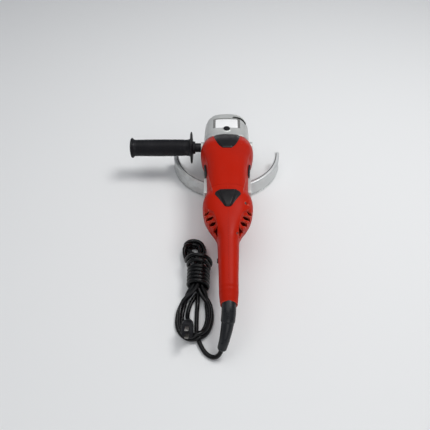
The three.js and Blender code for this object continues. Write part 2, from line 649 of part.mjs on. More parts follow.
// ---------------------------------------------------------------- rear handle
const TRIGGER = { pivotY: -330, pivotZ: 68, length: 66, half: 7.5 };
const HANDLE_SCREWS = [                 // place, height, where the hole in the right shell starts, and head
  { name: 'front', y: -255, z: 121, from: 20, head: 33 },
  { name: 'rear', y: -315, z: 107, from: 10, head: 16 },
];
const LOCK_ON = { y: -352, z: 76, radius: 4.5, proud: 1.6 };

// Air-inlet slots beside the spine, stepping back and inwards.
function ventCutters(side) {
  return Array.from({ length: 4 }, (_, i) => {
    const x = side * (39.5 - 5.6 * i);
    const y = -267 - 12 * i;
    return box([x - 5.5, y - 2.4, 98], [x + 5.5, y + 2.4, 140]);
  });
}

function triggerShape() {
  const { length, half } = TRIGGER;
  const outline = [
    [4, -1], [4, 3], [0, 5], [-length, -5], [-length - 2, -12],
    ...arc(-length + 8, -14, 9, 200, 262, 3),
    ...arc(-12, -4, 12, 262, 300, 3),
  ];
  const placed = outline.map(([y, z]) => [TRIGGER.pivotY + y, TRIGGER.pivotZ + z]);
  return prism(placed, -half, half, 'x');
}

function addRearHandle() {
  const outside = handleSkin(0);
  const inside = bodyBetween(SEAM_Y + 1, -424, -WALL, 12);
  const bootHole = bootSolid(GAP);
  const slot = box([-TRIGGER.half - 1, TRIGGER.pivotY - TRIGGER.length - 8, 40],
    [TRIGGER.half + 1, TRIGGER.pivotY + 7, 72]);
  const shell = cut(outside, inside, bootHole, slot, ...ventCutters(-1), ...ventCutters(1));
  const reach = 80;
  const halfSpace = (side) => box(
    [side < 0 ? -reach : GAP / 2, HANDLE_END_Y - 10, 0],
    [side < 0 ? -GAP / 2 : reach, SEAM_Y + 10, 150],
  );
  const buttonHole = rod(LOCK_ON.radius + GAP, -30, -5, 'x', [0, LOCK_ON.y, LOCK_ON.z], 16);
  const screwHoles = HANDLE_SCREWS.map(({ y, z, from }) => rod(4, from, 60, 'x', [0, y, z], 12));
  add('rear_handle_left', cut(shell.intersect(halfSpace(-1)), buttonHole), redPlastic());
  add('rear_handle_right', cut(shell.intersect(halfSpace(1)), ...screwHoles), redPlastic());
  HANDLE_SCREWS.forEach(({ name, y, z, from, head }) => {
    const screw = join(
      rod(SCREW, from - 12, head - 2.4, 'x', [0, y, z], 10),
      rod(3.6, head - 2.5, head, 'x', [0, y, z], 10),
    );
    add(`handle_screw_${name}`, screw, steel());
  });
  add('trigger', triggerShape(), blackPlastic());
  const tilt = THREE.MathUtils.degToRad(9);
  add('switch_body', box([-10, -384, 80], [10, -338, 97], tilt), blackPlastic());
  const outerFace = -sectionAt(LOCK_ON.y).half - LOCK_ON.proud;
  const button = rod(LOCK_ON.radius, outerFace, -13.6, 'x', [0, LOCK_ON.y, LOCK_ON.z], 16);
  add('lock_on_button', button, blackPlastic());
  const clampHole = rod(CORD_RADIUS + GAP, -420, -400, 'y', [0, 0, 74], 12);
  add('cord_clamp', cut(box([-9, -416, 64], [9, -408, 83]), clampHole), steel());
}

// ---------------------------------------------------------------- side handle
function addSideHandle() {
  const centre = [0, SIDE_Y, SIDE_Z];
  const grip = [
    [0, -216], [20, -216], [22.5, -214.5], [22.5, -212.5], [20, -210.5], [18.4, -206],
    [19, -160], [18.6, -84], [20, -81.5], [34, -80.8], [35.5, -79.2], [34, -77.6],
    [15, -75.5], [13.5, -74.5], [13.5, -71], [7.6, -71], [7.6, -120], [0, -120],
  ];
  add('side_handle_grip', turned(grip, 'x', centre), blackPlastic());
  const bolt = [
    [0, -119.5], [7.3, -119.5], [7.3, -70.6], [10.2, -70.6], [10.2, -58.4], [7, -58.4], [7, -42], [0, -42],
  ];
  add('side_handle_bolt', turned(bolt, 'x', centre, 16), blackPlastic());
}

// ---------------------------------------------------------------- lead, hank and plug
const BOOT_PATH = [
  [0, -423.5, 70], [0, -436, 67.4], [-0.6, -450, 62.5], [-3, -466, 52], [-7.5, -482, 36], [-12.5, -493, 21],
];
const BOOT_STEP = 0.44;                // share of its length up to the step in its diameter
const LEAD = [
  [-12.8, -493.6, 20.2], [-15.6, -498, 12.4], [-21.5, -500, 6.4], [-29.5, -498.5, CORD_RADIUS],
  [-38, -492.5, CORD_RADIUS], [-45, -484.5, CORD_RADIUS], [-50, -477.8, CORD_RADIUS],
];
const HANK = { x: -60, top: -252, bottom: -478, height: 20 };
const WRAP = { from: -378, to: -311, half: 27, height: 50 };
const PLUG_FACE = [-70, -464, 33];
const PLUG_RISE = THREE.MathUtils.degToRad(40);
const PLUG = { width: 20, length: 38 };
const BLADE = { width: 6.35, length: 17, thick: 1.5, apart: 12.7 };

function route(points) {
  return new THREE.CatmullRomCurve3(points.map((p) => new THREE.Vector3(...p)));
}

// The strain relief: a plain first part, a step down, then a taper.
function bootSolid(grow) {
  const radiusAt = (t) => grow + (t < BOOT_STEP ? 12.5 - 1.2 * t : 10.8 - 5.6 * (t - BOOT_STEP));
  return taperedTube(route(BOOT_PATH), radiusAt, 12, 16);
}

function plugSolid(geometry) {
  geometry.rotateX(-PLUG_RISE);
  geometry.translate(...PLUG_FACE);
  return solid(geometry);
}

// The plug lies along its own Y: the face at 0, the tail towards +Y, the blades towards -Y.
function plugBody(grow) {
  const { width, length } = PLUG;
  const side = [[0, 13], [16, 13], [30, 8], [length, 6], [length, -6], [30, -8], [16, -13], [0, -13]];
  const grown = side.map(([y, z]) => {
    const away = Math.sign(y - length / 2);
    return new THREE.Vector2(y + away * grow, z + Math.sign(z) * grow);
  });
  const depth = width + 2 * grow;
  const geometry = new THREE.ExtrudeGeometry(new THREE.Shape(grown), { depth, bevelEnabled: false });
  geometry.translate(0, 0, -depth / 2);
  geometry.applyMatrix4(ALONG.x);
  return plugSolid(geometry);
}

function addCord() {
  const octagon = arc(0, 0, CORD_RADIUS, 0, 315, 7).map(([u, v]) => new THREE.Vector2(u, v));
  const along = { steps: 12, extrudePath: route(LEAD), bevelEnabled: false };
  add('cord_tube', solid(new THREE.ExtrudeGeometry(new THREE.Shape(octagon), along)), rubber());

  const { x, top, bottom, height } = HANK;
  const outline = [
    ...arc(x - 6, top - 24, 24, 0, 180, 8),
    ...arc(x, bottom + 34, 34, 180, 360, 12),
  ];
  const loops = prism(outline, 0, height, 'z');
  const wraps = turned([[0, WRAP.from], [1, WRAP.from], [1, WRAP.to], [0, WRAP.to]], 'y', undefined, 16);
  const barrel = wraps.scale([WRAP.half, 1, WRAP.height / 2]).translate([x + 3, 0, WRAP.height / 2]);
  add('cord_hank', cut(join(loops, barrel), plugBody(0.4)), rubber());

  add('plug_body', plugBody(0), blackPlastic());
  [['front', -BLADE.apart / 2], ['rear', BLADE.apart / 2]].forEach(([word, height]) => {
    const blade = new THREE.BoxGeometry(BLADE.width, BLADE.length, BLADE.thick);
    blade.translate(0, -BLADE.length / 2 - GAP, height);
    add(`plug_blade_${word}`, plugSolid(blade), steel());
  });
}

// ---------------------------------------------------------------- assembly
addMotorHousing();
addSideTrim(-1, 'left');
addSideTrim(1, 'right');
add('front_pad', cut(pad(FRONT_PAD, housingSkin, 2.2), aheadOfJoint(0)), rubber());
add('rear_pad', pad(REAR_PAD, handleSkin, 3.2), rubber());
addGearCase();
addBearingCover();
addSpindle();
addArmature();
addStator();
addBrush(-1, 'left');
addBrush(1, 'right');
addSpindleLock();
addGuard();
addRearHandle();
addSideHandle();
add('cord_boot', bootSolid(0), rubber());
addCord();

// The origin is the middle of the tool's footprint, lead and plug left out, at the standing surface.
const CORD_PIECES = ['cord_tube', 'cord_hank', 'plug_body', 'plug_blade_front', 'plug_blade_rear'];
const toolOnly = grinder.children.filter((mesh) => !CORD_PIECES.includes(mesh.name));
const footprint = new THREE.Box3();
toolOnly.forEach((mesh) => footprint.expandByObject(mesh));
const middle = footprint.getCenter(new THREE.Vector3());
grinder.position.set(-middle.x, -middle.y, -footprint.min.z);

export default grinder;
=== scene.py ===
"""Large rear-handle angle grinder with its lead tied in a hank: the looks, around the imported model.

Shapes are worked out in the tool's own frame, in millimetres: the wheel spindle is the line x = 0,
y = 0, the tool stands on z = 0, +Y points to the gear case and the side handle is at -X. to_frame()
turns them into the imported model's frame, in metres.
"""
import json
import math

import bmesh
import bpy
import numpy as np
from mathutils import Matrix, Vector


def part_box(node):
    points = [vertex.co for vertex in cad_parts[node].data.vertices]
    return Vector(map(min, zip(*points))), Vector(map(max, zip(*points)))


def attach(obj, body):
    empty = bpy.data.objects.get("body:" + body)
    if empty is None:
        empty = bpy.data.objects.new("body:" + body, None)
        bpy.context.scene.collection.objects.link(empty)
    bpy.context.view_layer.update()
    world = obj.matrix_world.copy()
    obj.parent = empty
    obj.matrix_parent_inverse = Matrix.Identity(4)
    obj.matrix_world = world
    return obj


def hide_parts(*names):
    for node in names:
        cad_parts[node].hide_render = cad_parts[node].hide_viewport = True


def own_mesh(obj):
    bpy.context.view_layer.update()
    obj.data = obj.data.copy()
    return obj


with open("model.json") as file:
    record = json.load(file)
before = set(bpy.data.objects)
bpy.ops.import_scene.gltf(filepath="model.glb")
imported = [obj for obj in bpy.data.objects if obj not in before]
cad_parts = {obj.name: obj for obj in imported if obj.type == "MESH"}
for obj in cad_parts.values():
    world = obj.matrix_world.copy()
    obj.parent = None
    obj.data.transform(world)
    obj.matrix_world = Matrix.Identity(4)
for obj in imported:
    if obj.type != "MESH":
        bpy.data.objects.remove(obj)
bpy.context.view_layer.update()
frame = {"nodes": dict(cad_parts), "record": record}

MM = 0.001
JOINTS = {joint["name"]: joint for joint in frame["record"]["behaviour"]["joints"]}
SPINDLE = Vector(JOINTS["spindle_spin"]["pos_m"])
ORIGIN = np.array((SPINDLE.x, SPINDLE.y, 0.0))
MOTOR_Z = JOINTS["rotor_spin"]["pos_m"][2] / MM
GAP = 0.3                              # between pieces that lie side by side
SIDES = {"left": -1, "right": 1}


def to_frame(points):
    """Points of the tool's own frame, in millimetres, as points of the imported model's frame."""
    return np.asarray(points, float) * MM + ORIGIN


def from_frame(point):
    """The other way round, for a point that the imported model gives."""
    return (np.asarray(point, float) - ORIGIN) / MM


def span_of(node):
    """The lowest and highest corner of a CAD node, in the tool's own frame."""
    low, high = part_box(node)
    return from_frame(low), from_frame(high)


# ---- camera, light and floor
CAMERA_PLACE = (-12.5, -820.5, 706.1)
CAMERA_DOWN = math.radians(47.4)       # below level
CAMERA_TURN = math.radians(-1.2)       # to the right
CAMERA_ROLL = math.radians(-1.0)
FOCAL_LENGTH = 36.84                   # on a sensor 36 mm wide


def add_object(name, data):
    thing = bpy.data.objects.new(name, data)
    bpy.context.collection.objects.link(thing)
    return thing


def add_camera():
    camera = bpy.data.cameras.new("camera")
    camera.lens = FOCAL_LENGTH
    camera.sensor_width = 36
    camera.clip_start = 0.01
    level = math.cos(CAMERA_DOWN)
    ahead = Vector((math.sin(CAMERA_TURN) * level, math.cos(CAMERA_TURN) * level, -math.sin(CAMERA_DOWN)))
    across = ahead.cross(Vector((0, 0, 1))).normalized()
    above = across.cross(ahead)
    right = across * math.cos(CAMERA_ROLL) + above * math.sin(CAMERA_ROLL)
    up = above * math.cos(CAMERA_ROLL) - across * math.sin(CAMERA_ROLL)
    stand = add_object("camera", camera)
    stand.location = to_frame(CAMERA_PLACE)
    stand.rotation_euler = Matrix((right, up, -ahead)).transposed().to_euler()
    bpy.context.scene.camera = stand


def add_light(name, place, size, power):
    """A square lamp that points at the tool."""
    lamp = bpy.data.lights.new(name, "AREA")
    lamp.size = size
    lamp.energy = power
    stand = add_object(name, lamp)
    stand.location = place
    stand.rotation_euler = (Vector((0, 0, 0.05)) - stand.location).to_track_quat("-Z", "Y").to_euler()


def add_studio():
    add_light("key_light", (0.9, 0.3, 1.9), 0.7, 19)
    add_light("top_light", (-0.3, 0.1, 2.2), 2.0, 14)
    add_light("front_light", (0.3, -2.0, 1.3), 1.2, 6.5)
    world = bpy.data.worlds.new("studio")
    world.use_nodes = True
    world.node_tree.nodes["Background"].inputs["Color"].default_value = (0.9, 0.93, 1, 1)
    world.node_tree.nodes["Background"].inputs["Strength"].default_value = 0.3
    bpy.context.scene.world = world
    bpy.context.scene.view_settings.view_transform = "Standard"


def add_floor():
    half = 6
    corners = [(-half, -half, 0), (half, -half, 0), (half, half, 0), (-half, half, 0)]
    mesh = bpy.data.meshes.new("floor")
    mesh.from_pydata(corners, [], [(0, 1, 2, 3)])
    mesh.materials.append(Paint("floor_paint", (0.83, 0.835, 0.83), 0.75).material)
    add_object("floor", mesh)


# ---- materials
class Paint:
    """A node material, with short ways to add texture to it. Lengths are in metres."""

    def __init__(self, name, colour, roughness, metallic=0.0, shine=0.5):
        self.material = bpy.data.materials.new(name)
        self.material.use_nodes = True
        self.tree = self.material.node_tree
        self.shader = self.tree.nodes["Principled BSDF"]
        self.feed(self.shader, {"Base Color": (*colour, 1), "Roughness": roughness, "Metallic": metallic,
                                "Specular IOR Level": shine})
        self.places = self.add("TexCoord", {}).outputs["Object"]

    def feed(self, node, inputs):
        """Gives each of these sockets a value, or the output of another node."""
        for socket, value in inputs.items():
            if isinstance(value, bpy.types.NodeSocket):
                self.tree.links.new(value, node.inputs[socket])
            else:
                node.inputs[socket].default_value = value

    def add(self, kind, inputs, **options):
        node = self.tree.nodes.new("ShaderNode" + kind)
        for option, value in options.items():
            setattr(node, option, value)
        self.feed(node, inputs)
        return node

    def noise(self, size, detail, stretch=(1, 1, 1)):
        """Noise with lumps of about this size, drawn out along the axes with a large stretch."""
        mapping = self.add("Mapping", {"Vector": self.places, "Scale": [1 / s for s in stretch]})
        inputs = {"Vector": mapping.outputs["Vector"], "Scale": 1 / size, "Detail": detail}
        return self.add("TexNoise", inputs).outputs["Fac"]

    def ramp(self, source, low, high, start=0.0, end=1.0):
        """Carries source from low to high onto start to end."""
        inputs = {"Value": source, "From Min": low, "From Max": high, "To Min": start, "To Max": end}
        return self.add("MapRange", inputs, interpolation_type="SMOOTHSTEP").outputs["Result"]

    def times(self, first, second):
        return self.add("Math", {0: first, 1: second}, operation="MULTIPLY").outputs["Value"]

    def along(self, axis):
        return self.add("SeparateXYZ", {"Vector": self.places}).outputs[axis]

    def beyond(self, axis, place, reach):
        """0 within reach of a plane across an axis, 1 away from it."""
        near = self.add("Math", {0: self.along(axis), 1: place, 2: reach}, operation="COMPARE")
        return self.ramp(near.outputs["Value"], 0, 1, 1, 0)

    def edge_highlight(self, width):
        """1 on corners and raised edges, 0 on open surfaces; it places painted highlights along edges."""
        bulge = self.add("NewGeometry", {}).outputs["Pointiness"]
        return self.ramp(bulge, 0.5 + width, 0.5 + 3 * width)

    def crevice_shade(self, width):
        """1 down in grooves and inside corners, 0 on open surfaces; it places painted shade in these hollows.
        """
        bulge = self.add("NewGeometry", {}).outputs["Pointiness"]
        return self.ramp(bulge, 0.5 - 3 * width, 0.5 - width, 1, 0)

    def tint(self, amount, colour):
        """Carries the colour so far towards another one, by amount from 0 to 1 at each place."""
        target = self.shader.inputs["Base Color"]
        before = target.links[0].from_socket if target.is_linked else target.default_value
        mix = self.add("Mix", {"Factor": amount, "A": before, "B": (*colour, 1)}, data_type="RGBA")
        self.feed(self.shader, {"Base Color": mix.outputs["Result"]})

    def mottle(self, size, detail, low, high, most, colour):
        """Patches with up to this much of another colour, growing as noise goes from low to high."""
        self.tint(self.ramp(self.noise(size, detail), low, high, 0, most), colour)

    def roughen(self, size, detail, low, high):
        """Roughness from low to high over the middle range of the noise."""
        self.feed(self.shader, {"Roughness": self.ramp(self.noise(size, detail), 0.3, 0.7, low, high)})

    def bump(self, size, detail, depth, strength, stretch=(1, 1, 1)):
        height = self.noise(size, detail, stretch)
        node = self.add("Bump", {"Height": height, "Distance": depth, "Strength": strength})
        self.feed(self.shader, {"Normal": node.outputs["Normal"]})


def red_plastic():
    paint = Paint("red_plastic", (0.465, 0.0105, 0.0004), 0.42, shine=0.11)
    # Painted highlight: a lighter red along the creases and raised edges, kept off the middle line and off
    # the seam between housing and handle.
    away = paint.beyond("X", SPINDLE.x, 0.006)
    highlight_area = paint.times(away, paint.beyond("Y", SPINDLE.y + SEAM_Y * MM, 0.004))
    paint.tint(paint.times(paint.edge_highlight(0.012), highlight_area), (0.6, 0.07, 0.04))
    paint.mottle(0.09, 4, 0.42, 0.75, 0.5, (0.38, 0.013, 0.005))
    paint.mottle(0.012, 6, 0.6, 0.8, 0.22, (0.28, 0.02, 0.012))
    paint.roughen(0.03, 5, 0.36, 0.5)
    paint.bump(0.0007, 2, 0.00006, 0.5)
    return paint.material


def black_plastic():
    paint = Paint("black_plastic", (0.007, 0.007, 0.009), 0.34, shine=0.22)
    paint.mottle(0.03, 4, 0.45, 0.8, 0.6, (0.018, 0.017, 0.02))
    paint.roughen(0.02, 5, 0.36, 0.52)
    paint.bump(0.0006, 2, 0.00006, 0.5)
    return paint.material


def pad_rubber():
    paint = Paint("pad_rubber", (0.006, 0.005, 0.006), 0.36, shine=0.3)
    paint.mottle(0.015, 4, 0.45, 0.8, 0.5, (0.022, 0.018, 0.02))
    paint.roughen(0.012, 5, 0.28, 0.42)
    paint.bump(0.0009, 3, 0.0001, 0.6)
    return paint.material


def cord_rubber():
    paint = Paint("cord_rubber", (0.0015, 0.0015, 0.002), 0.26, shine=0.28)
    paint.mottle(0.02, 4, 0.5, 0.8, 0.5, (0.009, 0.009, 0.01))
    paint.roughen(0.015, 4, 0.24, 0.36)
    paint.bump(0.0015, 3, 0.0001, 0.4)
    return paint.material


def boot_rubber():
    paint = Paint("boot_rubber", (0.009, 0.01, 0.012), 0.3, shine=0.35)
    paint.mottle(0.02, 4, 0.45, 0.8, 0.6, (0.022, 0.024, 0.026))
    paint.roughen(0.01, 5, 0.25, 0.4)
    paint.bump(0.001, 3, 0.00012, 0.5)
    return paint.material


def cast_aluminium():
    paint = Paint("cast_aluminium", (0.62, 0.63, 0.61), 0.4, 0.5)
    paint.mottle(0.04, 5, 0.45, 0.75, 0.5, (0.5, 0.51, 0.495))
    paint.mottle(0.004, 5, 0.62, 0.8, 0.3, (0.32, 0.32, 0.31))
    # Painted highlight: lighter on corners and raised edges.
    paint.tint(paint.ramp(paint.edge_highlight(0.02), 0.2, 1, 0, 0.5), (0.7, 0.7, 0.69))
    # Painted shade: darker in grooves and inside corners.
    paint.tint(paint.crevice_shade(0.02), (0.27, 0.27, 0.26))
    paint.roughen(0.01, 6, 0.36, 0.55)
    paint.bump(0.0012, 4, 0.0002, 0.5)
    return paint.material


def guard_steel():
    paint = Paint("guard_steel", (0.66, 0.675, 0.67), 0.46, 0.5)
    paint.mottle(0.05, 5, 0.5, 0.72, 0.3, (0.5, 0.51, 0.5))
    # Darker patches towards the side handle: real smudges, and painted shadow that the side handle casts on
    # the guard.
    smudged_shaded_side = paint.ramp(paint.along("X"), SPINDLE.x - 0.02, SPINDLE.x - 0.075)
    smudges = paint.ramp(paint.noise(0.016, 7), 0.44, 0.62, 0.15, 0.6)
    paint.tint(paint.times(smudges, smudged_shaded_side), (0.45, 0.45, 0.435))
    # Painted highlight: lighter on corners and raised edges.
    paint.tint(paint.ramp(paint.edge_highlight(0.03), 0.2, 1, 0, 0.5), (0.85, 0.85, 0.84))
    # Painted shade: near black in the groove and inside corners.
    paint.tint(paint.crevice_shade(0.015), (0.05, 0.05, 0.045))
    paint.roughen(0.02, 8, 0.4, 0.58)
    paint.bump(0.0008, 3, 0.00004, 0.5, (12, 1, 1))
    return paint.material


def bright_plate():
    paint = Paint("bright_plate", (0.97, 0.97, 0.96), 0.4, 0.1)
    paint.mottle(0.01, 5, 0.5, 0.8, 0.35, (0.85, 0.85, 0.84))
    paint.roughen(0.004, 5, 0.34, 0.5)
    paint.bump(0.0006, 3, 0.00003, 0.4, (8, 1, 1))
    return paint.material


def machined_steel(name="machined_steel", colour=(0.36, 0.36, 0.365), dark=(0.2, 0.2, 0.2)):
    paint = Paint(name, colour, 0.3, 1.0)
    paint.mottle(0.008, 6, 0.5, 0.8, 0.5, dark)
    paint.roughen(0.005, 5, 0.22, 0.45)
    paint.bump(0.0005, 2, 0.00003, 0.4)
    return paint.material


def copper_wire():
    paint = Paint("copper_wire", (0.5, 0.2, 0.09), 0.35, 0.9)
    paint.mottle(0.004, 4, 0.5, 0.8, 0.5, (0.25, 0.09, 0.04))
    paint.roughen(0.003, 4, 0.28, 0.48)
    paint.bump(0.001, 1, 0.0002, 0.6, (1, 20, 1))
    return paint.material


def graphite():
    paint = Paint("graphite", (0.03, 0.03, 0.032), 0.6, 0.2)
    paint.mottle(0.002, 4, 0.5, 0.8, 0.5, (0.07, 0.07, 0.07))
    paint.roughen(0.002, 4, 0.5, 0.7)
    paint.bump(0.0004, 2, 0.00005, 0.4)
    return paint.material


# ---- mesh tools
def new_piece(name, points, faces):
    """A mesh object with its faces turned outwards, from points in the tool's own frame."""
    mesh = bpy.data.meshes.new(name)
    mesh.from_pydata(to_frame(points).tolist(), [], faces)
    shell = bmesh.new()
    shell.from_mesh(mesh)
    bmesh.ops.remove_doubles(shell, verts=shell.verts, dist=0.00001)
    bmesh.ops.delete(shell, geom=[edge for edge in shell.edges if not edge.link_faces], context="EDGES")
    bmesh.ops.recalc_face_normals(shell, faces=shell.faces)
    shell.to_mesh(mesh)
    shell.free()
    return add_object(name, mesh)


def loft(name, rings, round_trip=False):
    """A skin through rows of points. It is closed by its ends, or back to its first row."""
    count = len(rings[0])
    rows = len(rings)
    faces = []
    for i in range(rows if round_trip else rows - 1):
        here, there = i * count, ((i + 1) % rows) * count
        for j in range(count):
            k = (j + 1) % count
            faces.append((here + j, here + k, there + k, there + j))
    if not round_trip:
        faces.append(tuple(range(count)))
        faces.append(tuple(range((rows - 1) * count, rows * count)))
    return new_piece(name, np.concatenate(rings), faces)


TURNS = {
    "x": lambda along, u, v: (along, u, v),
    "y": lambda along, u, v: (v, along, u),
    "z": lambda along, u, v: (u, v, along),
}


def turned(name, profile, axis, centre=(0, 0, 0), sides=64):
    """A closed profile of (radius, place along the axis) turned about a line through centre."""
    angles = np.linspace(0, 2 * math.pi, sides, endpoint=False)
    rings = []
    for radius, along in profile:
        radius = max(radius, 0.001)                # a point on the axis, which new_piece makes one again
        spots = [TURNS[axis](along, radius * math.cos(a), radius * math.sin(a)) for a in angles]
        rings.append(np.array(spots) + centre)
    return loft(name, rings, round_trip=True)


def rod(name, radius, start, end, axis, centre=(0, 0, 0), sides=48):
    return turned(name, [(0, start), (radius, start), (radius, end), (0, end)], axis, centre, sides)


def prism(name, outline, start, end, axis="z"):
    """An outline of (u, v) points carried along an axis: z reads x, y; x reads y, z; y reads z, x."""
    rings = [np.array([TURNS[axis](along, u, v) for u, v in outline]) for along in (start, end)]
    return loft(name, rings)


def block(name, low, high):
    outline = [(low[0], low[1]), (high[0], low[1]), (high[0], high[1]), (low[0], high[1])]
    return prism(name, outline, low[2], high[2])


def arc(cx, cy, radius, start, end, steps):
    angles = np.radians(np.linspace(start, end, steps + 1))
    return [(cx + radius * math.cos(a), cy + radius * math.sin(a)) for a in angles]


def modify(piece, kind, **settings):
    """Works one modifier into the piece's mesh."""
    step = piece.modifiers.new(kind.lower(), kind)
    for setting, value in settings.items():
        setattr(step, setting, value)
    graph = bpy.context.evaluated_depsgraph_get()
    mesh = bpy.data.meshes.new_from_object(piece.evaluated_get(graph))
    piece.modifiers.clear()
    piece.data = mesh
    return piece


def squared(share, squareness):
    """A sine or cosine drawn outwards: at 2 a ring of them is round, and above 2 it is squarish."""
    return math.copysign(abs(share) ** (2 / squareness), share)


def joined(pieces):
    """Several pieces as one object."""
    first, *rest = pieces
    shell = bmesh.new()
    for piece in pieces:
        shell.from_mesh(piece.data)
    shell.to_mesh(first.data)
    shell.free()
    for piece in rest:
        bpy.data.objects.remove(piece)
    return first


def carve(target, cutters, operation="DIFFERENCE"):
    """Cuts pieces out of target one after another, or adds them to it."""
    for tool in cutters:
        modify(target, "BOOLEAN", operation=operation, solver="EXACT", object=tool)
        bpy.data.objects.remove(tool)
    return target


def rounded(piece, width, segments=3, angle=40):
    """Rounds the edges that are sharper than angle."""
    return modify(piece, "BEVEL", width=width * MM, segments=segments, limit_method="ANGLE",
                  angle_limit=math.radians(angle))


def cast(piece, grain, passes):
    """Runs overlapping solids together and softens their corners, as a casting's are."""
    modify(piece, "REMESH", mode="VOXEL", voxel_size=grain * MM)
    return modify(piece, "SMOOTH", factor=0.5, iterations=passes)


def finish(piece, material, body="housing", sharp=38, nodes=()):
    """Gives a piece its material and the body that it moves with. It stands for these CAD nodes, or
    else for the one that it is named after. Edges sharper than this angle are kept crisp."""
    if piece.type == "MESH":
        piece.data.shade_smooth()
        piece.data.set_sharp_from_angle(angle=math.radians(sharp))
    piece.data.materials.clear()
    piece.data.materials.append(material)
    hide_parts(*(nodes or [piece.name.removesuffix("_look")]))
    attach(piece, body)
    return piece


# ---- lead, hank and plug
CORD_RADIUS = 3.9
# The way of the strain relief and of the lead from it to the hank, as in the CAD.
BOOT_PATH = [
    (0, -423.5, 70), (0, -436, 67.4), (-0.6, -450, 62.5), (-3, -466, 52), (-7.5, -482, 36), (-12.5, -493, 21),
]
LEAD = [
    (-12.8, -493.6, 20.2), (-15.6, -498, 12.4), (-21.5, -500, 6.4), (-29.5, -498.5, CORD_RADIUS),
    (-38, -492.5, CORD_RADIUS), (-45, -484.5, CORD_RADIUS), (-50, -477.8, CORD_RADIUS),
]
BOOT_STEP = 0.44                       # share of the strain relief's length
WAIST_X, WAIST_Z = -55.5, 23           # middle of the bundle that the wraps go round
WAIST_FRONT, WAIST_BACK = -313, -372
WRAP_TURNS, WRAP_RADIUS, WRAP_PITCH = 6.79, 18.8, 7.95
STRANDS_UP = [(0, -8.1), (7, -4), (7, 4), (0, 0)]          # places in the bundle
STRANDS_DOWN = [(-7, -4), (-7, 4), (0, 8.1)]
STRAND_STEP = 4.0                      # between the points of the settled cord
PLUG_FACE = np.array((-70, -464, 33))
PLUG_RISE = math.radians(40)
PLUG_LENGTH = 38
PLUG_AXIS = np.array((0, math.cos(PLUG_RISE), -math.sin(PLUG_RISE)))
PLUG_TAIL = PLUG_FACE + (PLUG_LENGTH + 1) * PLUG_AXIS
BLADE_SPREAD = 12.7


def between(a, b, c, d, t):
    """A share t of the way from b to c, on the Catmull-Rom curve through all four."""
    bend, twist = 2 * a - 5 * b + 4 * c - d, 3 * b - a - 3 * c + d
    return 0.5 * (2 * b + (c - a) * t + bend * t * t + twist * t ** 3)


def smooth_route(route, step):
    """Points a step apart on the curve through the route's own."""
    points = [np.array(place, float) for place in route]
    ends = [2 * points[0] - points[1], *points, 2 * points[-1] - points[-2]]
    fine = []
    for i in range(len(points) - 1):
        fine += [between(*ends[i:i + 4], t) for t in np.linspace(0, 1, 12, endpoint=False)]
    fine = np.array(fine + [points[-1]])
    travelled = np.concatenate([[0], np.cumsum(np.linalg.norm(np.diff(fine, axis=0), axis=1))])
    spots = np.linspace(0, travelled[-1], round(travelled[-1] / step) + 1)
    return np.column_stack([np.interp(spots, travelled, fine[:, i]) for i in range(3)])


def fold(x, y, radius, turn, heights, reach=1.0):
    """Points round the end of a loop, drawn out along Y by reach."""
    angles = np.radians(turn)
    return [(x + radius * math.cos(a), y + reach * radius * math.sin(a), z) for a, z in zip(angles, heights)]


def wraps():
    """The turns round the waist: two loose ones, then tight ones, from the left over the top."""
    points = []
    y = WAIST_FRONT
    steps = 14
    for i in range(round(steps * WRAP_TURNS) + 1):
        turn = i / steps
        loose = 1 - min(max((turn - 1.2) / 0.9, 0), 1)
        radius = WRAP_RADIUS + 3.6 * loose
        x = WAIST_X + 2.2 * loose * math.sin(math.pi * turn - 1.2)
        angle = math.radians(195) - 2 * math.pi * turn
        points.append((x + radius * math.cos(angle), y, radius + CORD_RADIUS + radius * math.sin(angle)))
        y -= (WRAP_PITCH + 3 * loose) / steps
    return points


def hank_route():
    """The lead, up through the waist, round the long loops, round the waist, and to the plug."""
    points = [*LEAD, (-56.5, -462, 3.9), (-57.5, -430, 4), (-56.5, -402, 8)]
    upper = (-10, 35, 80, 125, 175)
    top_folds = [
        fold(-68, -273, 23, upper, (9, 5, 4, 5, 9)),
        fold(-66, -280, 18.5, upper, (14, 12, 11, 12, 15)),
        fold(-67, -273, 22, upper, (21, 16, 12, 16, 22)),
        fold(-70, -278, 18, upper, (26, 23, 19, 20, 23)),
    ]
    lower = (180, 215, 245, 270, 295, 325, 360)
    middle, bottom, neck = -60, -430, -392
    low_folds = []
    for half, side, end in ((29.3, 5, 12), (26, 11, 18), (27.5, 17, 23)):
        heights = (side, side, side + 3, end, side + 4, side, side)
        left, right = ((middle + share * half, neck, side + 2) for share in (-0.93, 0.93))
        low_folds.append([left, *fold(middle, bottom, half, lower, heights, 1.4), right])
    for number, (shift, lift) in enumerate(STRANDS_UP):
        points += [(WAIST_X + shift, y, WAIST_Z + lift) for y in (WAIST_BACK, WAIST_FRONT)]
        points += top_folds[number]
        if number < len(STRANDS_DOWN):
            shift, lift = STRANDS_DOWN[number]
            points += [(WAIST_X + shift, y, WAIST_Z + lift) for y in (WAIST_FRONT, WAIST_BACK)]
            points += low_folds[number]
    points += wraps()
    points += [(-64, -380, 4.2), (-70, -397, 4), (-75.5, -412, 4), (-74.5, -425, 5), PLUG_TAIL]
    return points


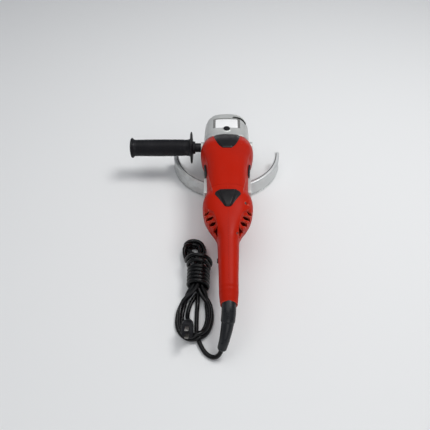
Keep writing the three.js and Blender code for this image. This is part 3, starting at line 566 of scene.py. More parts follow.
def settle(points, rounds):
    """Lets the cord lie: it keeps its length, stays out of itself, the plug and the floor, and sinks."""
    sink, ease, shove = 0.06, 0.22, 0.35           # in each round
    plug_room = 15                                 # from the plug's middle line
    points = points.copy()
    start = points.copy()
    rest = np.linalg.norm(np.diff(points, axis=0), axis=1)
    width = 2 * CORD_RADIUS + 0.15
    first, second = np.triu_indices(len(points), k=5)
    held = (points[:, 1] < WAIST_FRONT + 2) & (points[:, 1] > WAIST_BACK - 2)
    held[:12] = True
    held[-3:] = True
    plug = PLUG_FACE + np.outer(np.linspace(6, PLUG_LENGTH - 4, 4), PLUG_AXIS)
    for _ in range(rounds):
        points[:, 2] -= sink
        straighten(points, ease)
        for _ in range(2):
            apart = points[second] - points[first]
            distance = np.linalg.norm(apart, axis=1)
            close = distance < width
            push = apart[close] * ((width / np.maximum(distance[close], 0.1) - 1) * shove)[:, None]
            np.add.at(points, second[close], push)
            np.add.at(points, first[close], -push)
        for centre in plug:
            away = points[:-8] - centre
            distance = np.linalg.norm(away, axis=1)
            near = distance < plug_room
            push = plug_room / np.maximum(distance[near], 1) - 1
            points[:-8][near] += away[near] * push[:, None] * 0.5
        points[:, 2] = np.maximum(points[:, 2], CORD_RADIUS)
        for _ in range(3):
            for odd in (0, 1):
                a, b = slice(odd, -1, 2), slice(odd + 1, None, 2)
                gap = points[b] - points[a][:len(points[b])]
                length = np.linalg.norm(gap, axis=1)
                fix = gap * (0.5 * (1 - rest[odd::2][:len(length)] / length))[:, None]
                points[a][:len(fix)] += fix
                points[b] -= fix
            points[held] = start[held]
    for _ in range(5):
        straighten(points, 0.5)
        points[:, 2] = np.maximum(points[:, 2], CORD_RADIUS)
    return points


def straighten(points, share):
    """Moves each point part of the way to the middle of its neighbours."""
    points[1:-1] += share * ((points[:-2] + points[2:]) / 2 - points[1:-1])


def swept(name, curve, radius_at, sides):
    """A solid of changing radius along a row of points."""
    forward = np.gradient(curve, axis=0)
    forward /= np.linalg.norm(forward, axis=1)[:, None]
    side = np.array((1.0, 0, 0))
    angles = np.linspace(0, 2 * math.pi, sides, endpoint=False)
    rings = []
    for i, (centre, ahead) in enumerate(zip(curve, forward)):
        side = side - ahead * np.dot(side, ahead)
        side /= np.linalg.norm(side)
        up = np.cross(ahead, side)
        radius = radius_at(i / (len(curve) - 1))
        rings.append(np.array([centre + radius * (side * math.cos(a) + up * math.sin(a)) for a in angles]))
    return loft(name, rings)


def boot_radius(t):
    """The strain relief's radius along its length: a round lip, a plain part, a step, and a taper."""
    if t < BOOT_STEP:
        return 12.5 - 1.2 * t
    step = min((t - BOOT_STEP) / 0.04, 1)
    ease = step * step * (3 - 2 * step)
    narrow = 10.8 - 5.6 * (t - BOOT_STEP)
    end = max(t - 0.96, 0) / 0.04
    return (1 - ease) * (12.5 - 1.2 * t) + ease * narrow - 1.6 * end ** 2


def add_lead(rubber, boot, plastic, blade_steel):
    finish(swept("cord_boot_look", smooth_route(BOOT_PATH, 0.8), boot_radius, 48), boot)

    route = settle(smooth_route(hank_route(), STRAND_STEP), 160)
    line = bpy.data.curves.new("lead", "CURVE")
    line.dimensions = "3D"
    line.bevel_depth = CORD_RADIUS * MM
    line.bevel_resolution = 5
    line.use_fill_caps = True
    spline = line.splines.new("NURBS")
    spline.points.add(len(route) - 1)
    for spot, place in zip(spline.points, to_frame(route)):
        spot.co = (*place, 1)
    spline.order_u = 4
    spline.resolution_u = 3
    spline.use_endpoint_u = True
    lead = finish(add_object("lead", line), rubber, nodes=["cord_tube", "cord_hank"])
    pieces = [plug_body(plastic)]
    for word, side in (("front", -1), ("rear", 1)):
        pieces.append(plug_blade(word, side * BLADE_SPREAD / 2, blade_steel))


def plug_place(points):
    """Points of the plug's own frame, where it lies along Y with its blades at -Y, in the tool's frame."""
    c, s = math.cos(PLUG_RISE), math.sin(PLUG_RISE)
    turn = np.array([(1, 0, 0), (0, c, s), (0, -s, c)])
    return np.asarray(points, float) @ turn.T + PLUG_FACE


def plug_body(plastic):
    sections = [
        (0, 8.6, 11.6), (0.8, 9.6, 12.6), (2.5, 10, 13), (12, 10, 13), (17, 9.6, 12.4), (22, 8.2, 10.4),
        (27, 7.2, 8.4), (32, 6.4, 7), (37, 5.8, 6.2), (PLUG_LENGTH, 5, 5.4),
    ]
    rings = []
    for along, half, rise in sections:
        square = 5 - 2.6 * min(along / 30, 1)
        ring = []
        for a in np.linspace(0, 2 * math.pi, 48, endpoint=False):
            ring.append((half * squared(math.cos(a), square), along, rise * squared(math.sin(a), square)))
        rings.append(plug_place(ring))
    return finish(loft("plug_body_look", rings), plastic)


def plug_blade(word, height, blade_steel):
    rings = []
    for y, half, thick in ((-0.3, 3.175, 0.75), (-15.3, 3.175, 0.75), (-16.9, 2.5, 0.5), (-17.3, 1.9, 0.5)):
        under, over = height - thick, height + thick
        rings.append(plug_place([(-half, y, under), (half, y, under), (half, y, over), (-half, y, over)]))
    return finish(loft(f"plug_blade_{word}_look", rings), blade_steel)


# ---- red body
# Cross-sections from front to back: place, half width, lowest and highest point, squareness.
SECTIONS = np.array([
    (-15, 42, 58, 106, 2.5), (-33, 45.5, 53, 114, 2.5), (-42, 47.5, 50, 118, 2.5),
    (-54, 53, 47, 125, 2.6), (-80, 56.5, 45, 133.5, 2.7), (-100, 54, 45, 135, 2.7),
    (-122, 48.5, 46, 136, 2.7), (-145, 44.2, 47, 136, 2.7), (-187, 41.5, 48, 135, 2.7),
    (-212, 41.5, 49, 133.5, 2.7), (-228, 47, 50, 132, 2.6), (-247, 48, 51, 131, 2.6),
    (-268, 44.5, 54, 128, 2.5), (-286, 37, 58, 124.5, 2.4), (-304, 26.5, 63, 119, 2.4),
    (-320, 20.2, 65, 114, 2.4), (-345, 18.8, 63.5, 109, 2.4), (-380, 17.4, 60, 101.5, 2.4),
    (-418, 16.6, 54, 91, 2.2), (-430, 15.4, 52, 85, 2), (-436, 14.6, 52.4, 81.6, 2),
])
JOINT_Y, JOINT_Z, JOINT_SLOPE = -40, 115, 6 / 40
SEAM_Y = -214
HANDLE_END_Y = -436
HALF_SEAM = 0.06                       # half the gap between the handle's two shells
WALL = 3
COVER_RIM = 4                          # of a brush cover round its window in the wall


def section_at(y):
    """Half width, lowest and highest point and squareness at any place, smooth between the sections."""
    last = len(SECTIONS) - 1
    i = int(np.clip(np.searchsorted(-SECTIONS[:, 0], -y), 1, last))
    a, b, c, d = (SECTIONS[np.clip(k, 0, last)] for k in range(i - 2, i + 2))
    return between(a, b, c, d, (y - b[0]) / (c[0] - b[0]))[1:]


def blend(value, low, high):
    """0 below low, 1 above high, smooth between."""
    t = min(max((value - low) / (high - low), 0), 1)
    return t * t * (3 - 2 * t)


# A line that the skin's mesh follows on each side: the end of the raised middle of the top, then the
# edge of the spine between the vents. Place, and distance from the middle.
CREASE = np.array([
    (-30, 58), (-104, 53), (-118, 49), (-130, 46), (-155, 40.5), (-183, 36.5), (-209, 32), (-232, 28),
    (-246, 32), (-260, 40), (-268, 34), (-274, 27.5), (-286, 22.5), (-298, 20), (-436, 20),
])


def crease_at(y):
    return min(np.interp(-y, -CREASE[:, 0], CREASE[:, 1]), 0.9 * section_at(y)[0])


def joint_at(z):
    return JOINT_Y - (JOINT_Z - z) * JOINT_SLOPE


def skin_drop(x, y):
    """How far the top is sunk: outside the crease, in the scoop of the vents, and at the handle's end."""
    half = section_at(y)[0]
    edge = crease_at(y)
    along = blend(-y, 100, 122) * (1 - blend(-y, 216, 236))
    ridge = math.exp(-((abs(x) - edge) / 0.9) ** 2)
    flank = along * (3.2 * blend(abs(x), edge - 0.8, edge + 0.8) - 0.9 * ridge)
    scoop = 5 * blend(-y, 257, 266) * (1 - blend(-y, 312, 324)) * blend(abs(x), edge - 0.5, edge + 2)
    rim = 1 - 0.7 * blend(abs(x), half - 5, half - 1)
    ledge = 1.3 * blend(-y, 411, 414)
    return flank + scoop * rim + ledge


def skin_point(y, angle, inset, slant=0.0):
    """A point of the body's surface. slant shears the ring to lie along the gear case joint."""
    c, s = math.cos(angle), math.sin(angle)
    place = y
    for _ in range(4 if slant else 1):
        half, low, high, square = section_at(place)
        x = (half - inset) * squared(c, square)
        z = (low + high) / 2 + ((high - low) / 2 - inset) * squared(s, square)
        place = y - slant * JOINT_SLOPE * (JOINT_Z - z)
    if s > 0:
        z -= skin_drop(x, place) * blend(s, 0.1, 0.35)
    return x, place, z


def half_ring(y):
    """Angles up the right-hand side of a section, from its lowest point, closer together at the crease."""
    half, _, _, square = section_at(y)
    edge = crease_at(y)
    outer, inner = (math.acos((x / half) ** (square / 2)) for x in (edge + 1.3, edge - 1.3))
    return np.concatenate([
        np.linspace(-math.pi / 2, 0, 30, endpoint=False),
        np.linspace(0, outer, 14, endpoint=False),
        np.linspace(outer, inner, 8, endpoint=False),
        np.linspace(inner, math.pi / 2, 26),
    ])


def whole_ring(y):
    right = half_ring(y)
    return np.concatenate([right, math.pi - right[-2:0:-1]])


def stations(start, end, spacing):
    return np.linspace(start, end, int(round(abs(end - start) / spacing)) + 1)


def motor_housing(red):
    def ring(y, inset):
        slant = 1 - blend(JOINT_Y - y, 0, 60)
        return np.array([skin_point(y, angle, inset, slant) for angle in whole_ring(y)])

    places = stations(JOINT_Y - GAP, SEAM_Y, 1.6)
    outside = [ring(y, 0) for y in places]
    outside[0] = ring(places[0], 0.6)
    outside.insert(1, ring(places[0] - 0.5, 0.15))
    outside[-1] = ring(places[-1] + 0.4, 0)
    outside.append(ring(places[-1], 0.5))
    lining = [ring(y, WALL) for y in stations(SEAM_Y, JOINT_Y - GAP, 6)]
    shell = loft("motor_housing_look", outside + lining, round_trip=True)
    cutters = [screw_dimple((29, -90, 134), (0.5, -0.2, 1), 2.6)]
    for word, side in SIDES.items():
        low, high = span_of(f"brush_cover_{word}")
        rim = COVER_RIM - GAP
        inside, beyond = side * 30, side * 52
        cutters.append(block("window", (inside, low[1] + rim, low[2] + rim),
                             (beyond, high[1] - rim, high[2] - rim)))
    carve(shell, cutters)
    finish(shell, red, sharp=30)


def screw_dimple(place, along, radius):
    """A short cutter for a sunk screw hole, pointing out along the given direction."""
    ahead = np.array(along, float) / np.linalg.norm(along)
    centre = np.array(place, float)
    line = np.array([centre + reach * ahead for reach in (-2.4, 0, 3, 12)])
    return swept("dimple", line, lambda t: radius, 24)


def stadium(length, width):
    """An outline with round ends, along X."""
    reach = (length - width) / 2
    return arc(reach, 0, width / 2, -90, 90, 8) + arc(-reach, 0, width / 2, 90, 270, 8)


VENTS = [(39.5, -267, 9, 6.2), (33.8, -279, 15, 7), (28.8, -290.8, 13.5, 7)]
BACK_VENT = [(19.3, -300.5), (26.5, -299.5), (27, -304), (22, -316), (19.3, -319)]
VENT_TURN = 24                         # degrees, the inner ends lie further back


def vent_cutters(side):
    """Slots of (place across, place along, length, width), and the last opening beside the spine."""
    cutters = []
    slope = side * math.radians(VENT_TURN)
    for x, y, length, width in VENTS:
        outline = []
        for u, v in stadium(length, width):
            outline.append((side * x + u * math.cos(slope) - v * math.sin(slope),
                            y + u * math.sin(slope) + v * math.cos(slope)))
        cutters.append(prism("vent", outline, 97, 140))
    cutters.append(prism("back_vent", [(side * x, y) for x, y in BACK_VENT], 95, 140))
    return cutters


def rear_handle(word, red):
    side = SIDES[word]

    def ring(y):
        wall = WALL + 9 * blend(-y, 423, 425)          # nearly solid at the end
        outside = [skin_point(y, angle, 0) for angle in half_ring(y)]
        inside = [skin_point(y, angle, wall) for angle in half_ring(y)]
        points = np.array(outside + inside[::-1])
        points[:, 0] = side * np.maximum(points[:, 0], HALF_SEAM)
        return points

    rings = [ring(y) for y in stations(SEAM_Y - GAP, HANDLE_END_Y, 1.7)]
    shell = loft(f"rear_handle_{word}_look", rings)
    carve(shell, [swept("boot_hole", smooth_route(BOOT_PATH, 2), lambda t: boot_radius(t) + GAP, 32)])
    cutters = vent_cutters(side)
    low, high = span_of("trigger")
    beside, ahead = 0.8, 1.5           # room round the trigger
    cutters.append(block("slot", (-high[0] - beside, low[1] - ahead, 40),
                         (high[0] + beside, high[1] + ahead, 71)))
    if word == "right":
        cutters.append(rod("screw_hole", 3.2, 20, 60, "x", (0, -255, 121), 24))
        cutters.append(rod("screw_hole", 3.2, 10, 60, "x", (0, -315, 107), 24))
    carve(shell, cutters)
    finish(shell, red, sharp=30)


def height_at(x, y):
    """The height of the red body's top surface over a point."""
    half, low, high, square = section_at(y)
    share = min(abs(x) / half, 0.9999)
    rise = (1 - share ** square) ** (1 / square)
    return (low + high) / 2 + (high - low) / 2 * rise - skin_drop(x, y)


# ---- rubber pads
def bowed(a, b, c, steps=30):
    """A curved edge from a to c, bowed towards b."""
    t = np.linspace(0, 1, steps + 1)[:, None]
    return np.array(a) * (1 - t) ** 2 + 2 * np.array(b) * t * (1 - t) + np.array(c) * t * t


def pad_sheet(name, edge, thickness, profile):
    """A pad over the red body: rows from side to side, with its own surface profile above the skin."""
    sunk = 0.8                         # into the skin
    across = np.linspace(-1, 1, 41)
    rings = []
    for half, y in edge:
        skin = [(share * half, y, height_at(share * half, y)) for share in across]
        top = [(x, y, z + thickness * profile(share, y)) for (x, _, z), share in zip(skin, across)]
        under = [(x, y, z - sunk) for x, _, z in reversed(skin)]
        rings.append(np.array(top + under))
    return loft(name, rings)


def front_pad(rubber):
    front, back = joint_at(119), -108.7
    edge = bowed((28.6, front), (27.5, -91), (8.5, back))

    def profile(share, y):
        sides = 1 - blend(abs(share), 0.8, 1.0)
        lip = 1 - blend(y, front - 4, front)
        end = blend(y, back, back + 5)
        return 0.25 + 0.75 * sides * (0.25 + 0.75 * lip) * end

    finish(pad_sheet("front_pad_look", edge, 2.4, profile), rubber, sharp=50)


def rear_pad(rubber):
    corner = bowed((16.5, -228.4), (24.6, -229.5), (24.2, -238), 10)
    tip = bowed((7, -265.4), (5.2, -268), (1.5, -268.2), 5)
    edge = np.concatenate([corner, np.linspace(corner[-1], tip[0], 20)[1:-1], tip])

    def profile(share, y):
        x = share * np.interp(-y, -edge[:, 1], edge[:, 0])
        facet = np.interp(-y, [228, 264, 268], [15.5, 4.2, 3])
        sides = 1 - 0.9 * blend(abs(x), facet, facet + 4.5)
        ends = blend(-y, 228.4, 231) * (1 - blend(-y, 265.5, 268))
        return sides * (0.3 + 0.7 * ends)

    finish(pad_sheet("rear_pad_look", edge, 4.4, profile), rubber, sharp=50)


# ---- side trim
def brush_cover(word, silver):
    side = SIDES[word]
    low, high = span_of(f"brush_cover_{word}")
    face = max(abs(low[0]), abs(high[0]))
    inner = section_at((low[1] + high[1]) / 2)[0] + GAP - WALL
    cover = block(f"brush_cover_{word}_look", (side * inner, low[1], low[2]), (side * face, high[1], high[2]))
    finish(rounded(cover, 1.6, 4), silver)


def side_strip(word, plastic):
    side = SIDES[word]
    low, high = span_of(f"side_strip_{word}")
    rings = []
    for y in stations(high[1], low[1], 1.5):
        end = blend(high[1] - y, 0, 3) * blend(y - low[1], 0, 3)
        half = section_at(y)[0]
        outer, tall = half + 0.4 + 1.4 * end, 20 + 2 * end
        bottom, top = MOTOR_Z - tall - 4, MOTOR_Z + tall - 5
        corners = [(half - 4, bottom), (outer - 1, bottom), (outer, bottom + 1.5), (outer, top - 1.5),
                   (outer - 1, top), (half - 4, top)]
        rings.append(np.array([(side * x, y, z) for x, z in corners]))
    finish(loft(f"side_strip_{word}_look", rings), plastic)


# ---- gear case
CASE_HALF, CASE_FRONT, CASE_LOW, CASE_TOP = 51, 54, 50, 113
CASE_WALL, OUTLET_WALL = 6, 2.5
SHOULDER_Z = 60
NOSE_SQUARENESS, FLANK_SQUARENESS = 3.4, 3.8       # 2 is round
SIDE_PLACE = (0, -34, 76)              # the side handle's line runs along X through it
BOSS_END = 58
LOCK_Y = -14
LOCK_PLACE = (0, LOCK_Y, 0)
MOTOR_PLACE = (0, 0, MOTOR_Z)


def case_half_at(z, inset=0.0):
    """Half the case's width at a height."""
    share = min(max((z - SHOULDER_Z) / (CASE_TOP - inset - SHOULDER_Z), 0), 0.99999)
    return (CASE_HALF - inset) * (1 - share ** FLANK_SQUARENESS) ** (1 / FLANK_SQUARENESS)


def case_ring(z, inset, behind):
    """The case's outline at a height: a rounded front, and straight sides back to the slanted joint."""
    half = case_half_at(z, inset)
    nose = 17 - inset
    front = CASE_FRONT - inset
    over = z - (CASE_TOP - inset - nose)
    if over > 0:
        front -= nose - math.sqrt(max(nose ** 2 - over ** 2, 0))
    back = joint_at(z) + behind
    ring = []
    for angle in np.linspace(0, math.pi, 73):
        c, s = math.cos(angle), max(math.sin(angle), 0)
        ring.append((half * squared(c, NOSE_SQUARENESS), front * squared(s, NOSE_SQUARENESS), z))
    ring += [(-half, back * share, z) for share in (0.25, 0.5, 0.75, 1)]
    ring += [(half, back * share, z) for share in (1, 0.75, 0.5, 0.25)]
    return np.array(ring)


def case_block(name, low, inset, behind):
    """The case's rounded block, inset inside its outer surface, from low up to its top."""
    top = CASE_TOP - inset - 0.02
    rise = np.sin(np.linspace(0, math.pi / 2, 40)) ** (1 / 1.6)
    heights = np.concatenate([np.linspace(low, SHOULDER_Z, 4)[:-1], SHOULDER_Z + (top - SHOULDER_Z) * rise])
    return loft(name, [case_ring(z, inset, behind) for z in heights])


def joint_band(name, depth, grow):
    """A raised rim of the case beside its joint with the motor housing."""
    rings = []
    for z in np.linspace(CASE_LOW, CASE_TOP - 0.3, 30):
        half = case_half_at(z) + grow
        back = joint_at(z) + GAP
        lift = 2 * grow * blend(z, 90, CASE_TOP)
        rings.append(np.array([(-half, back, z + lift), (half, back, z + lift),
                               (half, back + depth, z + lift), (-half, back + depth, z + lift)]))
    return loft(name, rings)


def outlet_cutter():
    """The crescent outlet in the case's front corner, leaning forwards as it goes down."""
    outer = bowed((14.4, 33.5), (39.5, 34), (44.5, 7), 16)
    inner = bowed((42.5, 2), (37, 26.5), (14, 29.3), 16)
    outline = np.concatenate([outer, inner])
    rings = []
    for z in (CASE_TOP - 16, CASE_TOP + 6):
        lean = 1.2 * (CASE_TOP - 1 - z)
        rings.append(np.column_stack([outline[:, 0], outline[:, 1] + lean, np.full(len(outline), z)]))
    return loft("outlet", rings)


def gear_case(silver):
    case = joined([
        case_block("gear_case_look", CASE_LOW, 0, GAP),
        joint_band("band", 9, 1.4),
        rod("boss", 12.5, -BOSS_END, BOSS_END, "x", SIDE_PLACE),
        rod("lock_ring", 9.8, CASE_TOP - 6, CASE_TOP + 0.9, "z", LOCK_PLACE),
        rod("bearing_ring", 20, -47, -32.5, "y", MOTOR_PLACE),
    ])
    cast(case, 0.8, 3)
    band = 9                           # the joint's band is left solid
    cavity = case_block("cavity", CASE_LOW + 8, CASE_WALL, band)
    # The pillars hold the needle bearing and the lock button.
    pillars = [rod("pillar", 11, 96, CASE_TOP, "z"), rod("pillar", 10, 96, CASE_TOP, "z", LOCK_PLACE)]
    corner = [(14, 29), (32, 29), (32, 3), (60, 3), (60, 60), (14, 60)]
    thin_wall = case_block("thin_wall", 90, OUTLET_WALL, band)
    carve(thin_wall, [prism("corner", corner, 85, 125)], "INTERSECT")
    lock_hole = [(0, 88), (3.3, 88), (3.3, 101), (7.5, 101), (7.5, CASE_TOP + 5), (0, CASE_TOP + 5)]
    motor_hole = [(0, -66), (16.3, -66), (16.3, -35.2), (11.5, -35.2), (11.5, -15), (0, -15)]
    holes = [
        carve(cavity, pillars),
        thin_wall,
        plate_outline("pocket", 30.5, -9.5, 27.5, CASE_TOP - 3.4, CASE_TOP + 6),
        rod("under", 36, CASE_LOW - 5, CASE_LOW + 9, "z", sides=96),
        turned("lock_hole", lock_hole, "z", LOCK_PLACE),
        turned("motor_hole", motor_hole, "y", MOTOR_PLACE),
        rod("needle_seat", 5.9, 88, 108.3, "z"),
        outlet_cutter(),
    ]
    for side in SIDES.values():
        holes.append(rod("boss_hole", 7.3, side * 41, side * (BOSS_END + 2), "x", SIDE_PLACE))
    carve(case, holes)
    finish(case, silver, sharp=50)


def gear_case_plate(bright):
    plate = plate_outline("gear_case_plate_look", 25, -8, 25.5, CASE_TOP - 3.2, CASE_TOP - 1.9)
    carve(plate, [rod("hole", 9.4, 90, 130, "z", LOCK_PLACE)])
    finish(rounded(plate, 0.25, 2), bright)


def plate_outline(name, half, back, front, low, high):
    """A four-sided outline whose front edge is bowed forwards, carried from low to high."""
    bow = 3.2
    edge = [(half * math.cos(a), front - bow + bow * math.sin(a)) for a in np.linspace(0, math.pi, 25)]
    return prism(name, [(-half, back), (half, back)] + edge, low, high)


def bearing_cover(silver):
    low, high = span_of("bearing_cover")
    outer = (high[0] - low[0]) / 2
    neck, lip, bore = 30, 35.7, 10.5
    profile = [
        (bore, low[2]), (neck - 1, low[2]), (neck, low[2] + 1), (neck, 43.7), (neck + 1, 44.7),
        (outer - 1, 44.7), (outer, 45.7), (outer, 49.7), (lip, 49.7), (lip, high[2]), (20.3, high[2]),
        (20.3, 43), (bore, 43),
    ]
    cover = turned("bearing_cover_look", profile, "z", sides=96)
    holes = [rod("hole", 4, 40, 47.7, "z", (x, y, 0), 26) for x, y in arc(0, 0, 40.5, 45, 315, 3)]
    carve(cover, holes)
    finish(cover, silver)


# ---- spindle lock, spindle and flanges
def lock_button(plastic):
    low, high = span_of("lock_button")
    top = high[2]
    profile = [(0, low[2]), (3, low[2]), (3, 108.5), (7, 108.5), (7, top - 1.2), (6.6, top - 0.4),
               (5.8, top), (2.5, top - 0.25), (0, top - 0.3)]
    finish(turned("lock_button_look", profile, "z", LOCK_PLACE), plastic, "spindle_lock")


def lock_spring(steel):
    """The coil spring under the lock button."""
    low, high = span_of("lock_spring")
    wire, turns = 0.45, 3.5
    coil_radius = (high[0] - low[0]) / 2 - wire
    steps = np.linspace(0, 1, 100)
    angles = 2 * math.pi * turns * steps
    line = np.column_stack([
        coil_radius * np.cos(angles), LOCK_Y + coil_radius * np.sin(angles),
        low[2] + wire + (high[2] - low[2] - 2 * wire) * steps])
    spring = swept("lock_spring_look", line, lambda t: wire, 8)
    finish(spring, steel)
    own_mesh(spring)


def spindle(steel):
    thread = [(0, 5), (5.8, 5)]
    pitch, turns = 2, 10
    for i in range(turns):
        z = 6 + i * pitch
        thread += [(7, z + 0.2), (7, z + 0.5), (6.1, z + 1.1), (6.1, z + 1.4)]
    shaft = turned("spindle_look", thread + [
        (7, 27), (8.2, 27), (8.2, 56), (10, 56), (10, 61), (8.2, 61), (8.2, 80.4), (6, 80.4), (6, 95.5),
        (3.7, 95.5), (3.7, 107.5), (0, 107.5)], "z")
    finish(shaft, steel, "spindle")


def inner_flange(steel):
    flange = turned("inner_flange_look", [
        (7.3, 23.5), (10.7, 23.5), (11, 23.8), (11, 26), (20.6, 26), (21, 26.4), (21, 29.4), (20.4, 30),
        (16, 32), (10.6, 32), (10.6, 26.7), (7.3, 26.7)], "z", sides=96)
    finish(flange, steel, "spindle")


def flange_nut(steel):
    nut = turned("flange_nut_look", [
        (7.3, 15.4), (7.7, 15), (19.5, 15), (20, 15.5), (20, 19.5), (19.5, 20), (11, 20), (11, 22),
        (7.3, 22)], "z", sides=96)
    holes = [rod("hole", 2.5, 10, 17.5, "z", (x, y, 0), 24) for x, y in arc(0, 0, 14.5, 45, 315, 3)]
    carve(nut, holes)
    finish(nut, steel, "spindle")


# ---- wheel guard
GUARD_RADIUS, GUARD_HEIGHT, GUARD_SHEET, GUARD_FLANGE = 125, 38, 2, 11
PLATE_FRONT, FILLET, FILLET_ANGLE = 78, 60, 23.9
SKIRT_START, SKIRT_END = 182, 358      # degrees
COLLAR_BORE, COLLAR_OUTER = 30.3, 33.3
CLAMP_Y, CLAMP_Z, CLAMP_TOP = 38.5, 41.2, 44.2


def skirt_section():
    """The skirt's own section as (radius, height), from the bottom bead up to the plate and back."""
    r, top, sheet = GUARD_RADIUS, GUARD_HEIGHT, GUARD_SHEET
    bend = 4.5
    outer = arc(r - bend, top - bend, bend, 0, 90, 8)
    inner = arc(r - bend, top - bend, bend - sheet, 90, 0, 8)
    bead = arc(r - 0.6, 1.7, 1.7, -120, 40, 8)
    groove = [(r - 6.4, top), (r - 6.9, top - 1.2), (r - 8.1, top - 1.2), (r - 8.6, top)]
    return [(r - sheet, 0.4), *bead, (r - 0.9, 3.2), (r - 0.9, 3.8), (r, 4.4), *outer, *groove,
            (r - GUARD_FLANGE, top), (r - GUARD_FLANGE, top - sheet), *inner, (r - sheet, 4)]


def guard_plate():
    """The guard's flat top. It runs into the skirt's flange behind, and curves in to the neck in front."""
    def fillet(side, *turn):
        angle = math.radians(FILLET_ANGLE)
        reach = PLATE_FRONT + FILLET
        return arc(side * reach * math.cos(angle), reach * math.sin(angle), FILLET, *turn, 24)

    rim = arc(0, 0, GUARD_RADIUS - GUARD_FLANGE + 0.4, SKIRT_START, SKIRT_END, 120)
    front = arc(0, 0, PLATE_FRONT, FILLET_ANGLE, 180 - FILLET_ANGLE, 48)[1:-1]
    outline = [*rim, (GUARD_RADIUS - 0.2, rim[-1][1]), *fillet(1, 269, 180 + FILLET_ANGLE), *front,
               *fillet(-1, -FILLET_ANGLE, -89), (-GUARD_RADIUS + 0.2, rim[0][1])]
    recess = 0.02                      # keeps the plate's faces out of the flange's own planes
    return prism("plate", outline, GUARD_HEIGHT - GUARD_SHEET + recess, GUARD_HEIGHT - recess)


def wheel_guard(steel):
    rings = []
    for a in np.radians(np.linspace(SKIRT_START, SKIRT_END, 121)):
        rings.append(np.array([(r * math.cos(a), r * math.sin(a), z) for r, z in skirt_section()]))
    guard = loft("wheel_guard_look", rings)
    inside_plate = GUARD_HEIGHT - GUARD_SHEET / 2
    collar = turned("collar", [
        (COLLAR_BORE, inside_plate), (COLLAR_OUTER, inside_plate), (COLLAR_OUTER, CLAMP_TOP - 0.5),
        (COLLAR_OUTER - 0.5, CLAMP_TOP), (COLLAR_BORE + 0.5, CLAMP_TOP), (COLLAR_BORE, CLAMP_TOP - 0.5),
    ], "z", sides=96)
    carve(guard, [guard_plate(), collar], "UNION")
    for x in (1.2, -5.2):
        ear = rounded(block("ear", (x, 31, inside_plate), (x + 4, 43, CLAMP_TOP)), 0.6)
        carve(guard, [ear], "UNION")
    carve(guard, [rod("bore", COLLAR_BORE + GAP, 30, 50, "z", sides=90),
                  block("slit", (-1.2, 28, GUARD_HEIGHT + GAP), (1.2, 50, 50)),
                  rod("screw_hole", 2.3, -8, -1.5, "x", (0, CLAMP_Y, CLAMP_Z), 24),
                  rod("screw_hole", 2.3, 1.5, 8, "x", (0, CLAMP_Y, CLAMP_Z), 24)])
    finish(guard, steel, "guard", sharp=30)


# ---- side handle
RIB_COUNT, RIB_PITCH = 34, 3.2


def side_handle_grip(plastic):
    low, high = span_of("side_handle_grip")
    end, neck = low[0], high[0]
    bead = [(19.5, end), (21.4, end + 0.6), (22.5, end + 2), (22.5, end + 3), (21.6, end + 4.6),
            (19.8, end + 5.8), (18.6, end + 8)]
    ribs = []
    for i in range(RIB_COUNT):
        x = end + 13 + i * RIB_PITCH
        swell = 18.2 + 0.8 * math.sin(math.pi * (i + 4) / (RIB_COUNT + 8))
        ribs += [(swell, x), (swell, x + 1.9), (swell - 0.55, x + 2.3), (swell - 0.55, x + 2.8)]
    flange = [(18.6, -86), (20, -82.6), (24, -81.8), (34, -80.9), (35.4, -79.9), (35.5, -79.2),
              (35.2, -78.4), (34, -77.7), (24, -76.6), (17, -76), (15, -75.4), (14.2, -74.6), (14, -71.2),
              (13.6, neck)]
    bolt_hole = [(7.6, neck), (7.6, -120), (0, -120)]
    profile = [(0, end + 0.8), (8, end + 0.8), (9, end)] + bead + ribs + flange + bolt_hole
    finish(turned("side_handle_grip_look", profile, "x", SIDE_PLACE, 96), plastic)


def side_handle_bolt(plastic):
    bolt = turned("side_handle_bolt_look", [
        (0, -119.5), (7.3, -119.5), (7.3, -70.6), (9.8, -70.6), (10.2, -70.2), (10.2, -60), (9.6, -58.4),
        (7, -58.4), (7, -43), (6.4, -42), (0, -42)], "x", SIDE_PLACE)
    finish(bolt, plastic)


# ---- trigger and lock-on button
TRIGGER_LENGTH = 66


def trigger(plastic):
    low, high = span_of("trigger")
    pivot = from_frame(JOINTS["trigger_pull"]["pos_m"])
    outline = [(4, -1), (4, 3), (0, 5), (-TRIGGER_LENGTH, -5), (-TRIGGER_LENGTH - 2, -12)]
    outline += arc(-TRIGGER_LENGTH + 8, -14, 9, 200, 262, 12)
    outline += arc(-12, -4, 12, 262, 300, 8)
    placed = [(pivot[1] + y, pivot[2] + z) for y, z in outline]
    lever = rounded(prism("trigger_look", placed, low[0], high[0], "x"), 1.4, 4, 50)
    finish(lever, plastic, "trigger")


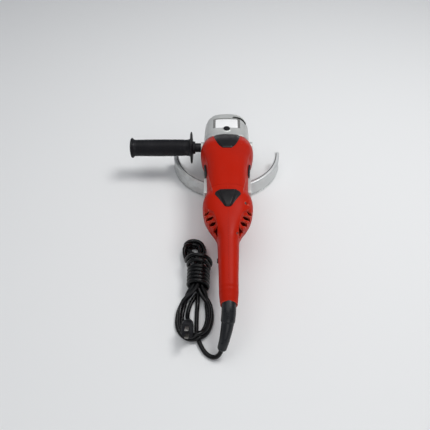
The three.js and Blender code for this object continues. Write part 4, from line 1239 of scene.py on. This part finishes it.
def lock_on_button(plastic):
    low, high = span_of("lock_on_button")
    centre = (0, (low[1] + high[1]) / 2, (low[2] + high[2]) / 2)
    radius = (high[1] - low[1]) / 2
    profile = [(0, high[0]), (radius, high[0]), (radius, low[0] + 0.8), (radius - 0.8, low[0]),
               (0, low[0] + 0.3)]
    finish(turned("lock_on_button_look", profile, "x", centre, 48), plastic, "lock_on")


# ---- CAD nodes that are shown as they are
def dress_inner_nodes(materials):
    """The pieces inside keep their CAD shapes, and get a material each."""
    wanted = {
        "steel": ["spindle_bearing", "needle_bearing", "crown_gear", "pinion_gear", "motor_front_bearing",
                  "motor_rear_bearing", "armature_shaft", "armature_core", "stator_core", "cord_clamp"],
        "dark_steel": [name for name in frame["nodes"] if "screw" in name],
        "copper": ["armature_windings", "commutator", "field_coil_left", "field_coil_right"],
        "brass": ["brush_holder_left", "brush_holder_right"],
        "graphite": ["carbon_brush_left", "carbon_brush_right"],
        "black": ["cooling_fan", "air_baffle", "switch_body"],
    }
    for kind, names in wanted.items():
        for name in names:
            mesh = frame["nodes"][name].data
            mesh.materials.clear()
            mesh.materials.append(materials[kind])


# ---- assembly
def main():
    add_camera()
    black = black_plastic()
    add_lead(cord_rubber(), boot_rubber(), black, machined_steel("blade_nickel", (0.6, 0.58, 0.54)))
    add_studio()
    add_floor()
    red = red_plastic()
    rubber = pad_rubber()
    silver = cast_aluminium()
    steel = machined_steel()
    motor_housing(red)
    for word in SIDES:
        rear_handle(word, red)
    front_pad(rubber)
    rear_pad(rubber)
    for word in SIDES:
        brush_cover(word, silver)
        side_strip(word, black)
    gear_case(silver)
    gear_case_plate(bright_plate())
    bearing_cover(silver)
    lock_button(black)
    lock_spring(steel)
    spindle(steel)
    inner_flange(steel)
    flange_nut(steel)
    wheel_guard(guard_steel())
    side_handle_grip(black)
    side_handle_bolt(black)
    trigger(black)
    lock_on_button(black)
    dress_inner_nodes({
        "steel": steel,
        "dark_steel": machined_steel("dark_steel", (0.06, 0.06, 0.063), (0.03, 0.03, 0.03)),
        "copper": copper_wire(),
        "brass": machined_steel("brass", (0.5, 0.36, 0.12), (0.3, 0.2, 0.07)),
        "graphite": graphite(),
        "black": black,
    })


main()
